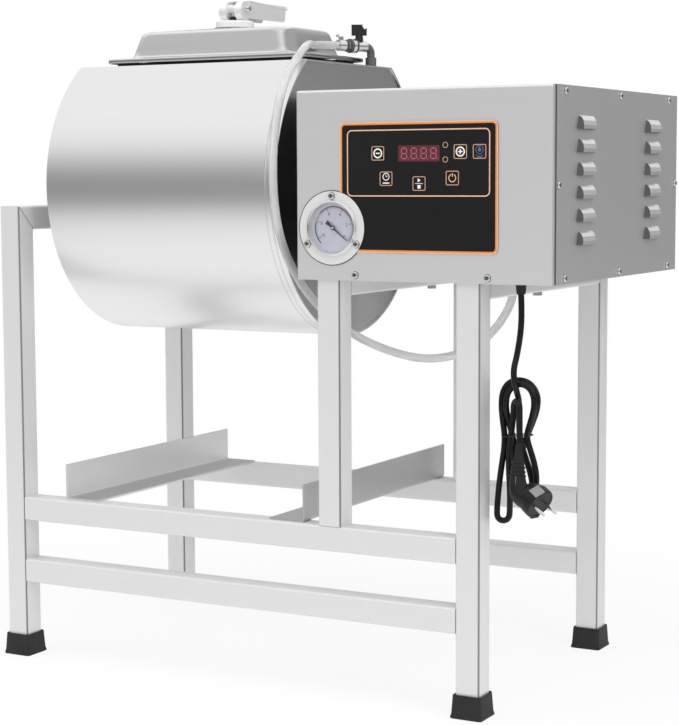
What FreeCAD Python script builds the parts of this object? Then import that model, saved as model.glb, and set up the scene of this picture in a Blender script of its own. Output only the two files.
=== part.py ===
import FreeCAD, Part
import math
import os
from types import SimpleNamespace

import Sketcher

# Vacuum meat mixer: a drum on a tube stand, driven from a control box.
# Lengths are in millimetres. X runs along the drum axis, Y from the front to the rear, Z up.
SIZES = {
    # stand
    "tube": 30.0,
    "tube_wall": 1.5,
    "tube_corner": 3.0,
    "frame_depth": 398.0,
    "bay_width": 147.0,
    "high_leg_top": 578.0,
    "low_leg_top": 506.0,
    "upper_rail_top": 207.0,
    "lower_rail_top": 126.5,
    "foot_height": 27.0,
    "foot_sole": 5.0,
    "foot_wall": 1.5,
    "foot_flare": 2.5,
    "bracket_height": 45.0,
    "bracket_foot": 48.0,
    "bracket_sheet": 2.5,
    "bracket_bend": 4.0,
    "bracket_end_gap": 8.0,
    "left_bracket_room": 60.0,
    "right_bracket_room": 23.0,
    "fit_gap": 0.1,
    # frame bolts
    "bolt_radius": 3.0,
    "bolt_head_radius": 6.0,
    "bolt_head_height": 5.5,
    "bolt_spread": 74.0,
    # control box
    "sheet": 1.5,
    "box_bend": 3.0,
    "box_overhang": 25.0,
    "box_end_overhang": 86.5,
    "box_skirt": 11.0,
    "box_top": 712.0,
    "box_rim": 18.0,
    "cover_groove": 7.5,
    "cover_corner": 2.0,
    "screw_radius": 2.0,
    "screw_head_radius": 4.0,
    "screw_head_height": 2.2,
    "screw_length": 8.0,
    "screw_inset": 6.5,
    "screw_row_spread": 169.5,
    "panel_screw_start": 77.0,
    "panel_screw_pitch": 165.0,
    "louvre_height": 14.8,
    "louvre_length": 54.0,
    "louvre_rise": 6.0,
    "louvre_wall": 1.2,
    "louvre_slant": 5.5,
    "louvre_pitch": 25.7,
    "louvre_rows": 6.0,
    "louvre_column_pitch": 219.5,
    "louvre_start": 62.5,
    "louvre_drop": 32.0,
    # control panel
    "overlay_start": 58.0,
    "overlay_width": 197.0,
    "overlay_rise": 32.5,
    "overlay_height": 147.0,
    "overlay_corner": 7.0,
    "overlay_film": 0.8,
    "display_start": 74.6,
    "display_width": 51.6,
    "display_rise": 102.5,
    "display_height": 18.0,
    "board_gap": 8.0,
    "board_width": 178.0,
    "board_height": 92.0,
    "board_sheet": 1.6,
    "pillar_radius": 3.0,
    "pillar_inset": 7.0,
    # vacuum gauge
    "gauge_start": 47.0,
    "gauge_rise": 60.0,
    "gauge_flange_radius": 42.3,
    "gauge_radius": 30.5,
    "gauge_proud": 7.0,
    "gauge_wall": 1.2,
    "gauge_lip": 2.2,
    "gauge_depth": 28.0,
    "gauge_glass": 2.0,
    "gauge_stem_radius": 6.0,
    "gauge_stem_length": 14.0,
    "dial_sheet": 0.8,
    "needle_sheet": 0.6,
    "needle_length": 22.6,
    "needle_tail": 9.9,
    "needle_hub_radius": 2.4,
    "needle_level": 1.2,
    "needle_tip": 0.2,
    "needle_tail_share": 1.6,
    "spindle_radius": 0.8,
    "spindle_length": 8.0,
    "needle_rest_angle": -38.0,
    "movement_radius": 9.0,
    "gauge_screw_circle": 36.7,
    # drum
    "drum_radius": 188.0,
    "drum_length": 334.0,
    "drum_gap": 36.0,
    "drum_wall": 2.0,
    "drum_flat": 152.0,
    "drum_lip": 2.0,
    "hub_radius": 42.0,
    "hub_sheet": 6.0,
    "rib_radius": 120.0,
    "rib_height": 4.0,
    "rib_width": 10.0,
    "paddle_height": 52.0,
    "paddle_foot": 22.0,
    "paddle_end_gap": 20.0,
    "shaft_radius": 10.0,
    "shaft_gap": 0.05,
    # bearings and drive
    "bearing_rise": 24.0,
    "bearing_radius": 16.0,
    "bearing_width": 12.0,
    "housing_radius": 21.0,
    "housing_width": 24.0,
    "housing_base": 9.0,
    "housing_length": 104.0,
    "housing_bolt_pitch": 80.0,
    "flange_half": 32.0,
    "flange_sheet": 7.0,
    "wall_bore": 13.0,
    "coupling_radius": 19.0,
    "coupling_length": 44.0,
    "gearbox_radius": 46.0,
    "gearbox_length": 62.0,
    "motor_radius": 40.0,
    "motor_length": 96.0,
    "motor_shaft_radius": 7.0,
    "bracket_plate": 4.0,
    "bracket_width": 104.0,
    "drive_gap": 4.0,
    # vacuum pump and its fitting
    "pump_start": 109.0,
    "pump_room": 109.0,
    "pump_radius": 27.0,
    "pump_length": 72.0,
    "pump_head": 44.0,
    "pump_base": 4.0,
    "pump_pad": 8.0,
    "fitting_start": 176.0,
    "fitting_offset": 26.0,
    "fitting_hex": 16.0,
    "fitting_reach": 12.0,
    # mouth, lid and clamp
    "lid_shift": -3.0,
    "mouth_length": 220.0,
    "mouth_width": 122.0,
    "mouth_corner": 16.0,
    "neck_wall": 2.0,
    "neck_sheet": 1.5,
    "neck_depth": 20.0,
    "lid_end_room": 40.0,
    "lid_width": 168.0,
    "lid_corner": 20.0,
    "lid_sheet": 2.0,
    "lid_edge": 7.0,
    "gasket": 4.0,
    "gasket_inset": 8.0,
    "pan_length": 238.0,
    "pan_width": 138.0,
    "pan_height": 37.0,
    "pan_shoulder": 27.0,
    "pan_draft": 8.0,
    "pan_edge": 8.0,
    "disc_radius": 24.5,
    "disc_sheet": 9.5,
    "disc_edge": 2.0,
    "lobe_radius": 12.5,
    "lobe_throw": 3.0,
    "lobe_width": 10.0,
    "lobe_slot": 13.5,
    "pin_radius": 6.0,
    "stud_radius": 4.0,
    "lever_length": 104.0,
    "lever_width": 31.0,
    "lever_sheet": 4.0,
    "lever_depth": 19.0,
    "bar_width": 24.0,
    "bar_sheet": 6.0,
    "bar_overlap": 7.0,
    # valve on the drum
    "valve_lid_gap": 13.0,
    "valve_offset": 72.0,
    "valve_height": 25.0,
    "valve_turn": 246.0,
    "valve_bore": 4.0,
    "collar_radius": 7.0,
    "collar_height": 11.0,
    "elbow_radius": 5.0,
    "elbow_bend": 9.0,
    "valve_body_radius": 7.0,
    "valve_body_length": 17.0,
    "valve_stem_at": 19.0,
    "valve_nut_radius": 7.6,
    "valve_nut_length": 13.0,
    "barb_length": 18.0,
    "handle_length": 32.0,
    "handle_width": 8.0,
    "handle_height": 12.0,
    "handle_gap": 0.3,
    "clamp_ring": 2.0,
    "clamp_width": 10.0,
    # hose, mains cord and plug
    "hose_diameter": 10.0,
    "hose_lead": 25.0,
    "hose_rise": 19.6,
    "cord_diameter": 7.0,
    "bushing_radius": 7.5,
    "bushing_height": 24.0,
    "cord_end_room": 54.5,
    "cord_y": 40.0,
    "plug_radius": 18.5,
    "plug_depth": 13.0,
    "grip_radius": 8.0,
    "cord_neck_radius": 4.5,
    "plug_pin_radius": 2.4,
    "plug_pin_length": 19.0,
    "plug_pin_pitch": 19.0,
}

doc = FreeCAD.newDocument("meat_mixer")
sheet = doc.addObject("Spreadsheet::Sheet", "Size")
for row, (name, number) in enumerate(SIZES.items(), start=1):
    sheet.set(f"A{row}", name)
    sheet.set(f"B{row}", str(number))
    sheet.setAlias(f"B{row}", name)
doc.recompute()


class Dim(float):
    """A number that carries the sheet formula that it was worked out from."""

    def __new__(cls, number, formula=None):
        dim = super().__new__(cls, number)
        dim.formula = formula or repr(float(number))
        return dim

    def join(self, sign, other, number, swap=False):
        first, second = self, other if isinstance(other, Dim) else Dim(other)
        if swap:
            first, second = second, first
        return Dim(number, f"({first.formula} {sign} {second.formula})")

    def __add__(self, other):
        return self.join("+", other, float(self) + float(other))

    def __radd__(self, other):
        return self.join("+", other, float(other) + float(self), swap=True)

    def __sub__(self, other):
        return self.join("-", other, float(self) - float(other))

    def __rsub__(self, other):
        return self.join("-", other, float(other) - float(self), swap=True)

    def __mul__(self, other):
        return self.join("*", other, float(self) * float(other))

    def __rmul__(self, other):
        return self.join("*", other, float(other) * float(self), swap=True)

    def __truediv__(self, other):
        return self.join("/", other, float(self) / float(other))

    def __neg__(self):
        return Dim(-float(self), f"(0 - {self.formula})")


size = SimpleNamespace(**{name: Dim(getattr(sheet, name), f"Size.{name}") for name in SIZES})

# Places that follow from the sizes, measured from the outer corner of the front left leg.
drum_left = size.tube + size.drum_gap
drum_right = drum_left + size.drum_length
box_left = drum_right + size.drum_gap
middle_post_x = box_left + size.box_overhang
right_leg_x = middle_post_x + size.tube + size.bay_width
frame_length = right_leg_x + size.tube
box_right = frame_length + size.box_end_overhang
rear_leg_y = size.frame_depth - size.tube
box_front = 0 - 2 * size.sheet
box_rear = size.frame_depth + 2 * size.sheet
box_base = size.low_leg_top - size.box_skirt
floor_top = size.low_leg_top + size.sheet
axis_y = size.frame_depth / 2
axis_z = size.high_leg_top + size.bearing_rise
flat_top = axis_z + size.drum_flat
cover_right = box_right + size.sheet
gauge_front = box_front - size.gauge_proud
left_bracket_x = size.tube + size.left_bracket_room
right_bracket_x = middle_post_x - size.right_bracket_room
lid_x = (drum_left + drum_right) / 2 + size.lid_shift
lid_length = size.drum_length - size.lid_end_room
valve_x = lid_x + lid_length / 2 + size.valve_lid_gap
valve_y = axis_y + size.valve_offset
panel_screw_x = box_left + size.panel_screw_start
louvre_top = size.box_top - size.louvre_drop
overlay_left = box_left + size.overlay_start
overlay_base = box_base + size.overlay_rise
display_left = overlay_left + size.display_start
display_base = overlay_base + size.display_rise
gauge_x = box_left + size.gauge_start
gauge_z = box_base + size.gauge_rise
pump_x = box_left + size.pump_start
pump_y = box_rear - size.pump_room
fitting_x = box_left + size.fitting_start
fitting_y = axis_y + size.fitting_offset
cord_x = box_right - size.cord_end_room
mid_x = (cover_right + size.louvre_rise - size.foot_flare) / 2
mid_y = (box_rear + size.screw_head_height + gauge_front) / 2

PLANES = {"top": "XY_Plane", "front": "XZ_Plane", "side": "YZ_Plane"}
UPRIGHT = FreeCAD.Rotation()
nodes = {}


def bind(thing, name, dim):
    """Tie one property of an object to its formula on the sheet."""
    thing.setExpression(name, (dim if isinstance(dim, Dim) else Dim(dim)).formula)


def put(thing, x, y, z, turn=UPRIGHT):
    """Place an object by its distance from the front left corner of the stand."""
    thing.Placement = FreeCAD.Placement(FreeCAD.Vector(x - mid_x, y - mid_y, z), turn)
    bind(thing, "Placement.Base.x", x - mid_x)
    bind(thing, "Placement.Base.y", y - mid_y)
    bind(thing, "Placement.Base.z", z)


def finish(label, thing):
    """Give the finished piece the name that its file takes."""
    thing.Label = label
    nodes[label] = thing
    return thing


# Part design bodies

def new_body(label, x, y, z, turn=UPRIGHT):
    body = doc.addObject("PartDesign::Body", label)
    put(body, x, y, z, turn)
    return body


def body_piece(label, x, y, z, turn=UPRIGHT):
    """A body that is a whole piece of the machine by itself."""
    return finish(label, new_body(label, x, y, z, turn))


def new_sketch(body, plane, offset=0.0):
    """A sketch on one of the body's own planes, moved along the plane's normal by offset."""
    sketch = body.newObject("Sketcher::SketchObject", "Sketch")
    origin = [item for item in body.Origin.OriginFeatures if item.Role == PLANES[plane]][0]
    sketch.AttachmentSupport = [(origin, "")]
    sketch.MapMode = "FlatFace"
    if offset:
        bind(sketch, "AttachmentOffset.Base.z", offset)
    return sketch


def hold(sketch, constraint, dim=None):
    index = sketch.addConstraint(constraint)
    if dim is not None:
        bind(sketch, f"Constraints[{index}]", dim)


def pin_point(sketch, curve, end, u, v):
    """Fix one end or centre of a curve at a place measured from the sketch's origin."""
    hold(sketch, Sketcher.Constraint("DistanceX", -1, 1, curve, end, float(u)), u)
    hold(sketch, Sketcher.Constraint("DistanceY", -1, 1, curve, end, float(v)), v)


def add_corners(sketch, corners):
    """A closed outline of straight sides through the given corners."""
    spots = [FreeCAD.Vector(u, v, 0) for u, v in corners]
    first = sketch.GeometryCount
    for index, spot in enumerate(spots):
        sketch.addGeometry(Part.LineSegment(spot, spots[(index + 1) % len(spots)]))
    for index, (u, v) in enumerate(corners):
        following = first + (index + 1) % len(spots)
        hold(sketch, Sketcher.Constraint("Coincident", first + index, 2, following, 1))
        pin_point(sketch, first + index, 1, u, v)


def add_circle(sketch, u, v, radius):
    index = sketch.addGeometry(Part.Circle(FreeCAD.Vector(u, v, 0), FreeCAD.Vector(0, 0, 1), radius))
    pin_point(sketch, index, 3, u, v)
    hold(sketch, Sketcher.Constraint("Radius", index, float(radius)), radius)


def add_rounded_box(sketch, u, v, width, height, radius):
    """A rectangle with round corners, its middle at (u, v)."""
    side = width / 2 - radius
    rise = height / 2 - radius
    centres = [(u + side, v + rise), (u - side, v + rise), (u - side, v - rise), (u + side, v - rise)]
    first = sketch.GeometryCount
    arcs = []
    for quarter, (cu, cv) in enumerate(centres):
        circle = Part.Circle(FreeCAD.Vector(cu, cv, 0), FreeCAD.Vector(0, 0, 1), radius)
        start = quarter * math.pi / 2
        arcs.append(Part.ArcOfCircle(circle, start, start + math.pi / 2))
        sketch.addGeometry(arcs[-1])
    for quarter in range(4):
        sketch.addGeometry(Part.LineSegment(arcs[quarter].EndPoint, arcs[(quarter + 1) % 4].StartPoint))
    for quarter, (cu, cv) in enumerate(centres):
        arc = first + quarter
        line = first + 4 + quarter
        pin_point(sketch, arc, 3, cu, cv)
        hold(sketch, Sketcher.Constraint("Radius", arc, float(radius)), radius)
        hold(sketch, Sketcher.Constraint("Tangent", arc, 2, line, 1))
        hold(sketch, Sketcher.Constraint("Tangent", line, 2, first + (quarter + 1) % 4, 1))


def add_flat_circle(sketch, radius, flat):
    """A circle about the origin with its top cut off level at the height flat."""
    half = math.sqrt(radius ** 2 - flat ** 2)
    left = math.atan2(flat, -half)
    right = math.atan2(flat, half) + 2 * math.pi
    circle = Part.Circle(FreeCAD.Vector(0, 0, 0), FreeCAD.Vector(0, 0, 1), radius)
    arc = sketch.addGeometry(Part.ArcOfCircle(circle, left, right))
    chord = sketch.addGeometry(Part.LineSegment(FreeCAD.Vector(half, flat, 0), FreeCAD.Vector(-half, flat, 0)))
    hold(sketch, Sketcher.Constraint("Coincident", arc, 3, -1, 1))
    hold(sketch, Sketcher.Constraint("Radius", arc, float(radius)), radius)
    hold(sketch, Sketcher.Constraint("Coincident", arc, 2, chord, 1 if half < 0 else 2))
    hold(sketch, Sketcher.Constraint("Coincident", arc, 1, chord, 2 if half < 0 else 1))
    hold(sketch, Sketcher.Constraint("DistanceY", -1, 1, chord, 1, float(flat)), flat)
    hold(sketch, Sketcher.Constraint("Horizontal", chord))


def pad(body, sketch, length, back=False):
    feature = body.newObject("PartDesign::Pad", "Pad")
    feature.Profile = sketch
    feature.Reversed = back
    bind(feature, "Length", length)
    return feature


def pocket(body, sketch, back=False, length=None):
    """Cut the sketch through all that lies on one side of it, or to a depth."""
    doc.recompute()
    before = body.Shape.Volume
    feature = body.newObject("PartDesign::Pocket", "Pocket")
    feature.Profile = sketch
    feature.Reversed = back
    if length is None:
        feature.Type = "ThroughAll"
    else:
        bind(feature, "Length", length)
    doc.recompute()
    if body.Shape.Volume >= before:
        raise ValueError(f"a pocket of {body.Label} cuts nothing")
    return feature


def revolve(body, sketch, axis):
    feature = body.newObject("PartDesign::Revolution", "Revolution")
    feature.Profile = sketch
    feature.ReferenceAxis = (sketch, [axis])
    feature.Angle = 360.0
    return feature


def loft(body, sketches, kind="AdditiveLoft"):
    feature = body.newObject(f"PartDesign::{kind}", "Loft")
    feature.Profile = sketches[0]
    feature.Sections = sketches[1:]
    feature.Ruled = True
    return feature


def round_edges(body, radius, wanted):
    """Fillet the edges of the body whose middle and direction the test accepts."""
    doc.recompute()
    base = body.Tip
    names = []
    for number, edge in enumerate(base.Shape.Edges, start=1):
        middle = edge.valueAt((edge.FirstParameter + edge.LastParameter) / 2)
        along = edge.tangentAt((edge.FirstParameter + edge.LastParameter) / 2)
        if wanted(middle, along):
            names.append(f"Edge{number}")
    feature = body.newObject("PartDesign::Fillet", "Fillet")
    feature.Base = (base, names)
    bind(feature, "Radius", radius)
    return feature


# Plain solids and their cuts and unions

def block(x, y, z, length, depth, height):
    item = doc.addObject("Part::Box", "Block")
    bind(item, "Length", length)
    bind(item, "Width", depth)
    bind(item, "Height", height)
    put(item, x, y, z)
    return item


ALONG = {
    "x": FreeCAD.Rotation(FreeCAD.Vector(0, 1, 0), 90),
    "y": FreeCAD.Rotation(FreeCAD.Vector(1, 0, 0), -90),
    "z": UPRIGHT,
}


def rod(axis, x, y, z, radius, length):
    """A cylinder that starts at a place and runs along an axis."""
    item = doc.addObject("Part::Cylinder", "Rod")
    bind(item, "Radius", radius)
    bind(item, "Height", length)
    put(item, x, y, z, ALONG[axis])
    return item


def fuse(*items):
    item = doc.addObject("Part::MultiFuse", "Union")
    item.Shapes = list(items)
    item.Refine = True
    return item


def cut(base, *tools):
    for tool in tools:
        item = doc.addObject("Part::Cut", "Cut")
        item.Base = base
        item.Tool = tool
        base = item
    return base


def group(*items):
    """Separate solids that share one node."""
    item = doc.addObject("Part::Compound", "Group")
    item.Links = list(items)
    return item


def raw_piece(label, shape):
    """A piece made with plain shape functions in the stand's own coordinates."""
    item = doc.addObject("Part::Feature", label)
    item.Shape = shape
    item.Placement = FreeCAD.Placement(FreeCAD.Vector(-mid_x, -mid_y, 0), UPRIGHT)
    return finish(label, item)


# The stand

def square_tube(label, axis, x, y, z, length):
    """A length of square tube whose lowest corner stands at a place."""
    body = body_piece(label, x, y, z)
    plane = {"x": "side", "y": "front", "z": "top"}[axis]
    section = new_sketch(body, plane)
    middle = size.tube / 2
    add_rounded_box(section, middle, middle, size.tube, size.tube, size.tube_corner)
    inside = size.tube - 2 * size.tube_wall
    add_rounded_box(section, middle, middle, inside, inside, size.tube_corner - size.tube_wall)
    pad(body, section, length, back=(axis == "y"))
    return body


def mitre(body, corners):
    """Cut a corner off a tube, seen from the side."""
    sketch = new_sketch(body, "side")
    add_corners(sketch, corners)
    pocket(body, sketch, back=True)


def make_legs():
    tall = size.high_leg_top - size.foot_sole
    front = square_tube("front_left_leg", "z", Dim(0), Dim(0), size.foot_sole, tall)
    mitre(front, [(Dim(0), tall), (size.tube, tall - size.tube), (size.tube, tall)])
    rear = square_tube("rear_left_leg", "z", Dim(0), rear_leg_y, size.foot_sole, tall)
    mitre(rear, [(size.tube, tall), (Dim(0), tall), (Dim(0), tall - size.tube)])
    low = size.low_leg_top - size.foot_sole
    square_tube("front_right_leg", "z", right_leg_x, Dim(0), size.foot_sole, low)
    square_tube("rear_right_leg", "z", right_leg_x, rear_leg_y, size.foot_sole, low)
    post = size.low_leg_top - size.upper_rail_top
    square_tube("front_middle_post", "z", middle_post_x, Dim(0), size.upper_rail_top, post)
    square_tube("rear_middle_post", "z", middle_post_x, rear_leg_y, size.upper_rail_top, post)


def make_left_top_rail():
    base = size.high_leg_top - size.tube
    rail = square_tube("left_top_rail", "y", Dim(0), Dim(0), base, size.frame_depth)
    far = size.frame_depth
    mitre(rail, [(Dim(0), Dim(0)), (size.tube, Dim(0)), (Dim(0), size.tube)])
    mitre(rail, [(far, Dim(0)), (far, size.tube), (far - size.tube, Dim(0))])
    sketch = new_sketch(rail, "top")
    for side in (-1, 1):
        add_circle(sketch, size.tube / 2, axis_y + side * size.housing_bolt_pitch / 2, size.bolt_radius + size.fit_gap)
    pocket(rail, sketch, back=True)


def make_long_rails():
    for end, y in (("front", Dim(0)), ("rear", rear_leg_y)):
        for level, top in (("upper", size.upper_rail_top), ("lower", size.lower_rail_top)):
            name = f"{end}_{level}_rail"
            square_tube(name, "x", size.tube, y, top - size.tube, right_leg_x - size.tube)


def floor_bolt_spots():
    """The bolts that hold the box to its rails: two on the middle rail and one on the right."""
    middle = middle_post_x + size.tube / 2
    right = right_leg_x + size.tube / 2
    return [
        (middle, axis_y - size.bolt_spread),
        (middle, axis_y + size.bolt_spread),
        (right, axis_y),
    ]


def make_box_rails():
    base = size.low_leg_top - size.tube
    inner = size.frame_depth - 2 * size.tube
    for name, x in (("middle_box_rail", middle_post_x), ("right_box_rail", right_leg_x)):
        rail = square_tube(name, "y", x, size.tube, base, inner)
        sketch = new_sketch(rail, "top")
        for bolt_x, bolt_y in floor_bolt_spots():
            if (bolt_x > right_leg_x) == (x > middle_post_x):
                add_circle(sketch, bolt_x - x, bolt_y - size.tube, size.bolt_radius + size.fit_gap)
        pocket(rail, sketch, back=True)


def make_foot(label, x, y):
    """A rubber cap that flares out to the floor, with a socket for the leg."""
    body = body_piece(label, x, y, Dim(0))
    sole = new_sketch(body, "top")
    wide = size.tube + 2 * size.foot_flare
    add_rounded_box(sole, Dim(0), Dim(0), wide, wide, size.tube_corner)
    mouth = new_sketch(body, "top", size.foot_height)
    slim = size.tube + 2 * size.foot_wall
    add_rounded_box(mouth, Dim(0), Dim(0), slim, slim, size.tube_corner)
    loft(body, [sole, mouth])
    socket = new_sketch(body, "top", size.foot_sole)
    bore = size.tube + 2 * size.fit_gap
    add_rounded_box(socket, Dim(0), Dim(0), bore, bore, size.tube_corner)
    pocket(body, socket, back=True)


def make_feet():
    half = size.tube / 2
    for side, x in (("left", half), ("right", right_leg_x + half)):
        for end, y in (("front", half), ("rear", rear_leg_y + half)):
            make_foot(f"{end}_{side}_foot", x, y)


def make_tray_bracket(label, x, way):
    """An angle across the two upper rails, its foot turned one way along X."""
    body = body_piece(label, x, size.bracket_end_gap, size.upper_rail_top)
    outline = new_sketch(body, "front")
    skin = size.bracket_sheet
    corners = [
        (Dim(0), Dim(0)),
        (way * size.bracket_foot, Dim(0)),
        (way * size.bracket_foot, skin),
        (way * skin, skin),
        (way * skin, size.bracket_height),
        (Dim(0), size.bracket_height),
    ]
    add_corners(outline, corners)
    pad(body, outline, size.frame_depth - 2 * size.bracket_end_gap, back=True)
    round_edges(body, size.bracket_bend, lambda at, along: abs(along.y) > 0.9 and abs(at.x) + abs(at.z) < 0.1)
    inner = size.bracket_bend - size.bracket_sheet
    near = float(skin)
    round_edges(body, inner, lambda at, along: abs(along.y) > 0.9
                and abs(abs(at.x) - near) + abs(at.z - near) < 0.1)


def hex_bolt(x, y, z, shank, up=True):
    """A hexagon bolt with a washer face and a nut at the far end; z is under its head."""
    head = doc.addObject("Part::Prism", "Head")
    head.Polygon = 6
    bind(head, "Circumradius", size.bolt_head_radius)
    bind(head, "Height", size.bolt_head_height)
    put(head, x, y, z - size.bolt_head_height if up else z)
    nut = doc.addObject("Part::Prism", "Nut")
    nut.Polygon = 6
    bind(nut, "Circumradius", size.bolt_head_radius)
    bind(nut, "Height", size.bolt_head_height)
    put(nut, x, y, z + shank if up else z - shank - size.bolt_head_height)
    stem = rod("z", x, y, z if up else z - shank, size.bolt_radius, shank)
    return fuse(head, stem, nut)


def make_frame_bolts():
    bolts = []
    base = size.low_leg_top - size.tube
    for x, y in floor_bolt_spots():
        bolts.append(hex_bolt(x, y, base, size.tube + size.sheet))
    top = size.high_leg_top + size.housing_base
    for side in (-1, 1):
        y = axis_y + side * size.housing_bolt_pitch / 2
        bolts.append(hex_bolt(size.tube / 2, y, top, size.tube + size.housing_base, up=False))
    finish("frame_bolts", group(*bolts))


# The control box

def panel_screw_spots():
    """Screws through the front and rear skirts: their X places."""
    return [panel_screw_x, panel_screw_x + size.panel_screw_pitch]


def cover_screw_spots():
    """Screws of the side cover: (Y, Z) places."""
    low = box_base + size.screw_inset
    high = size.box_top - size.screw_inset
    half = (low + high) / 2
    spots = [(axis_y + step * size.screw_row_spread, level) for level in (low, high) for step in (-1, 0, 1)]
    front = box_front + size.cover_groove + size.screw_inset
    return spots + [(front, half), (box_rear - size.screw_inset, half)]


def make_box_casing():
    """The folded shell: front, top, rear and left wall, open below and to the right."""
    length = box_right - box_left
    depth = box_rear - box_front
    height = size.box_top - box_base
    body = body_piece("box_casing", box_left, box_front, box_base)
    outline = new_sketch(body, "top")
    add_corners(outline, [(Dim(0), Dim(0)), (length, Dim(0)), (length, depth), (Dim(0), depth)])
    pad(body, outline, height)
    far = float(length)
    round_edges(body, size.box_bend, lambda at, along: at.x < far - 0.1 and at.z > 0.1)
    inside = new_sketch(body, "top")
    skin = size.sheet
    add_corners(inside, [(skin, skin), (length - skin, skin), (length - skin, depth - skin), (skin, depth - skin)])
    pocket(body, inside, back=True, length=height - skin)
    mouth = new_sketch(body, "side", length - 2 * skin)
    rim = size.box_rim
    corners = [(rim, Dim(-1)), (depth - rim, Dim(-1)), (depth - rim, height - rim), (rim, height - rim)]
    add_corners(mouth, corners)
    pocket(body, mouth, back=True)
    bores = new_sketch(body, "side", length - 2 * skin)
    for y, z in cover_screw_spots():
        if z > floor_top:
            add_circle(bores, y - box_front, z - box_base, size.screw_radius + size.fit_gap)
    pocket(body, bores, back=True)
    shaft_hole = new_sketch(body, "side", 2 * skin)
    add_circle(shaft_hole, axis_y - box_front, axis_z - box_base, size.wall_bore)
    add_flange_screws(shaft_hole, axis_y - box_front, axis_z - box_base)
    pocket(body, shaft_hole)
    skirt = new_sketch(body, "front")
    for x in panel_screw_spots():
        add_circle(skirt, x - box_left, size.screw_inset, size.screw_radius + size.fit_gap)
    pocket(body, skirt)
    panel = new_sketch(body, "front", -2 * skin)
    add_circle(panel, gauge_x - box_left, gauge_z - box_base, size.gauge_radius + size.fit_gap)
    for u, v in gauge_screw_spots():
        add_circle(panel, gauge_x - box_left + u, gauge_z - box_base + v, size.screw_radius + size.fit_gap)
    window_x = display_left + size.display_width / 2 - box_left
    window_z = display_base + size.display_height / 2 - box_base
    wide = size.display_width + 2 * size.fit_gap
    tall = size.display_height + 2 * size.fit_gap
    add_rounded_box(panel, window_x, window_z, wide, tall, size.tube_wall / 2)
    pocket(body, panel, back=True)


def add_flange_screws(sketch, u, v):
    reach = size.flange_half - size.screw_inset
    for side in (-1, 1):
        for level in (-1, 1):
            add_circle(sketch, u + side * reach, v + level * reach, size.screw_radius + size.fit_gap)


def make_box_floor():
    """The floor tray: it lies on the rails and its flanges turn down inside the skirts."""
    skin = size.sheet
    length = box_right - box_left - 2 * skin
    depth = box_rear - box_front - 2 * skin
    drop = size.box_skirt
    body = body_piece("box_floor", box_left + skin, box_front + skin, box_base)
    outline = new_sketch(body, "top")
    add_corners(outline, [(Dim(0), Dim(0)), (length, Dim(0)), (length, depth), (Dim(0), depth)])
    pad(body, outline, drop + skin)
    inside = new_sketch(body, "top")
    corners = [(Dim(-1), skin), (length - skin, skin), (length - skin, depth - skin), (Dim(-1), depth - skin)]
    add_corners(inside, corners)
    pocket(body, inside, back=True, length=drop)
    holes = new_sketch(body, "top")
    left = box_left + skin
    front = box_front + skin
    for x, y in floor_bolt_spots():
        add_circle(holes, x - left, y - front, size.bolt_radius + size.fit_gap)
    add_circle(holes, fitting_x - left, fitting_y - front, size.hose_diameter / 2 + size.fit_gap)
    add_circle(holes, cord_x - left, size.cord_y - front, size.bushing_radius - skin + size.fit_gap)
    pocket(body, holes, back=True)
    skirt = new_sketch(body, "front")
    for x in panel_screw_spots():
        add_circle(skirt, x - left, size.screw_inset, size.screw_radius + size.fit_gap)
    pocket(body, skirt)
    side = new_sketch(body, "side", length - 2 * skin)
    for y, z in cover_screw_spots():
        if z < floor_top:
            add_circle(side, y - front, z - box_base, size.screw_radius + size.fit_gap)
    pocket(body, side, back=True)


def make_side_cover():
    """The right-hand cover plate with two columns of stamped louvres, open to the front."""
    front = box_front + size.cover_groove
    body = new_body("CoverPlate", box_right, front, box_base)
    plate = new_sketch(body, "side")
    depth = box_rear - front
    height = size.box_top - box_base
    add_rounded_box(plate, depth / 2, height / 2, depth, height, size.cover_corner)
    for y, z in cover_screw_spots():
        add_circle(plate, y - front, z - box_base, size.screw_radius + size.fit_gap)
    pad(body, plate, size.sheet)
    outer = louvre_form(-size.sheet / 2, 0.0)
    inner = louvre_form(-2 * size.sheet, float(size.louvre_wall))
    hoods = []
    hollows = []
    for y, z in louvre_spots():
        for shape, kept in ((outer, hoods), (inner, hollows)):
            item = doc.addObject("Part::Feature", "Louvre")
            item.Shape = shape
            put(item, cover_right, y, z)
            kept.append(item)
    finish("side_cover", cut(fuse(body, *hoods), group(*hollows)))


def louvre_spots():
    """The front end of each louvre's lower edge: (Y, Z) places in two columns."""
    level = louvre_top - size.louvre_height
    rows = int(size.louvre_rows)
    return [(size.louvre_start + column * size.louvre_column_pitch, level - row * size.louvre_pitch)
            for column in (0, 1) for row in range(rows)]


# The louvre's outline from the cover to its lip: share of the rise and share of the height.
LOUVRE_BULGE = [(0.0, 1.0), (0.45, 0.88), (0.8, 0.62), (1.0, 0.28)]


def louvre_form(low, wall):
    """A hood that bulges out to its lower lip, from a depth below the cover's face, less a wall."""
    height = size.louvre_height - wall
    lean = size.louvre_slant / size.louvre_height
    rings = []
    for share, tall in LOUVRE_BULGE:
        out = share * (size.louvre_rise - wall)
        in_from_end = wall + size.louvre_slant * share
        top = tall * height
        corners = [
            (out, in_from_end, 0),
            (out, size.louvre_length - in_from_end, 0),
            (out, size.louvre_length - in_from_end - lean * top, top),
            (out, in_from_end + lean * top, top),
        ]
        rings.append([FreeCAD.Vector(*corner) for corner in corners])
    rings.insert(0, [FreeCAD.Vector(low, corner.y, corner.z) for corner in rings[0]])
    faces = [ring_face(rings[0]), ring_face(rings[-1])]
    for near, far in zip(rings, rings[1:]):
        for index in range(4):
            after = (index + 1) % 4
            faces.append(ring_face([near[index], near[after], far[after], far[index]]))
    return Part.makeSolid(Part.makeShell(faces))


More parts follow.
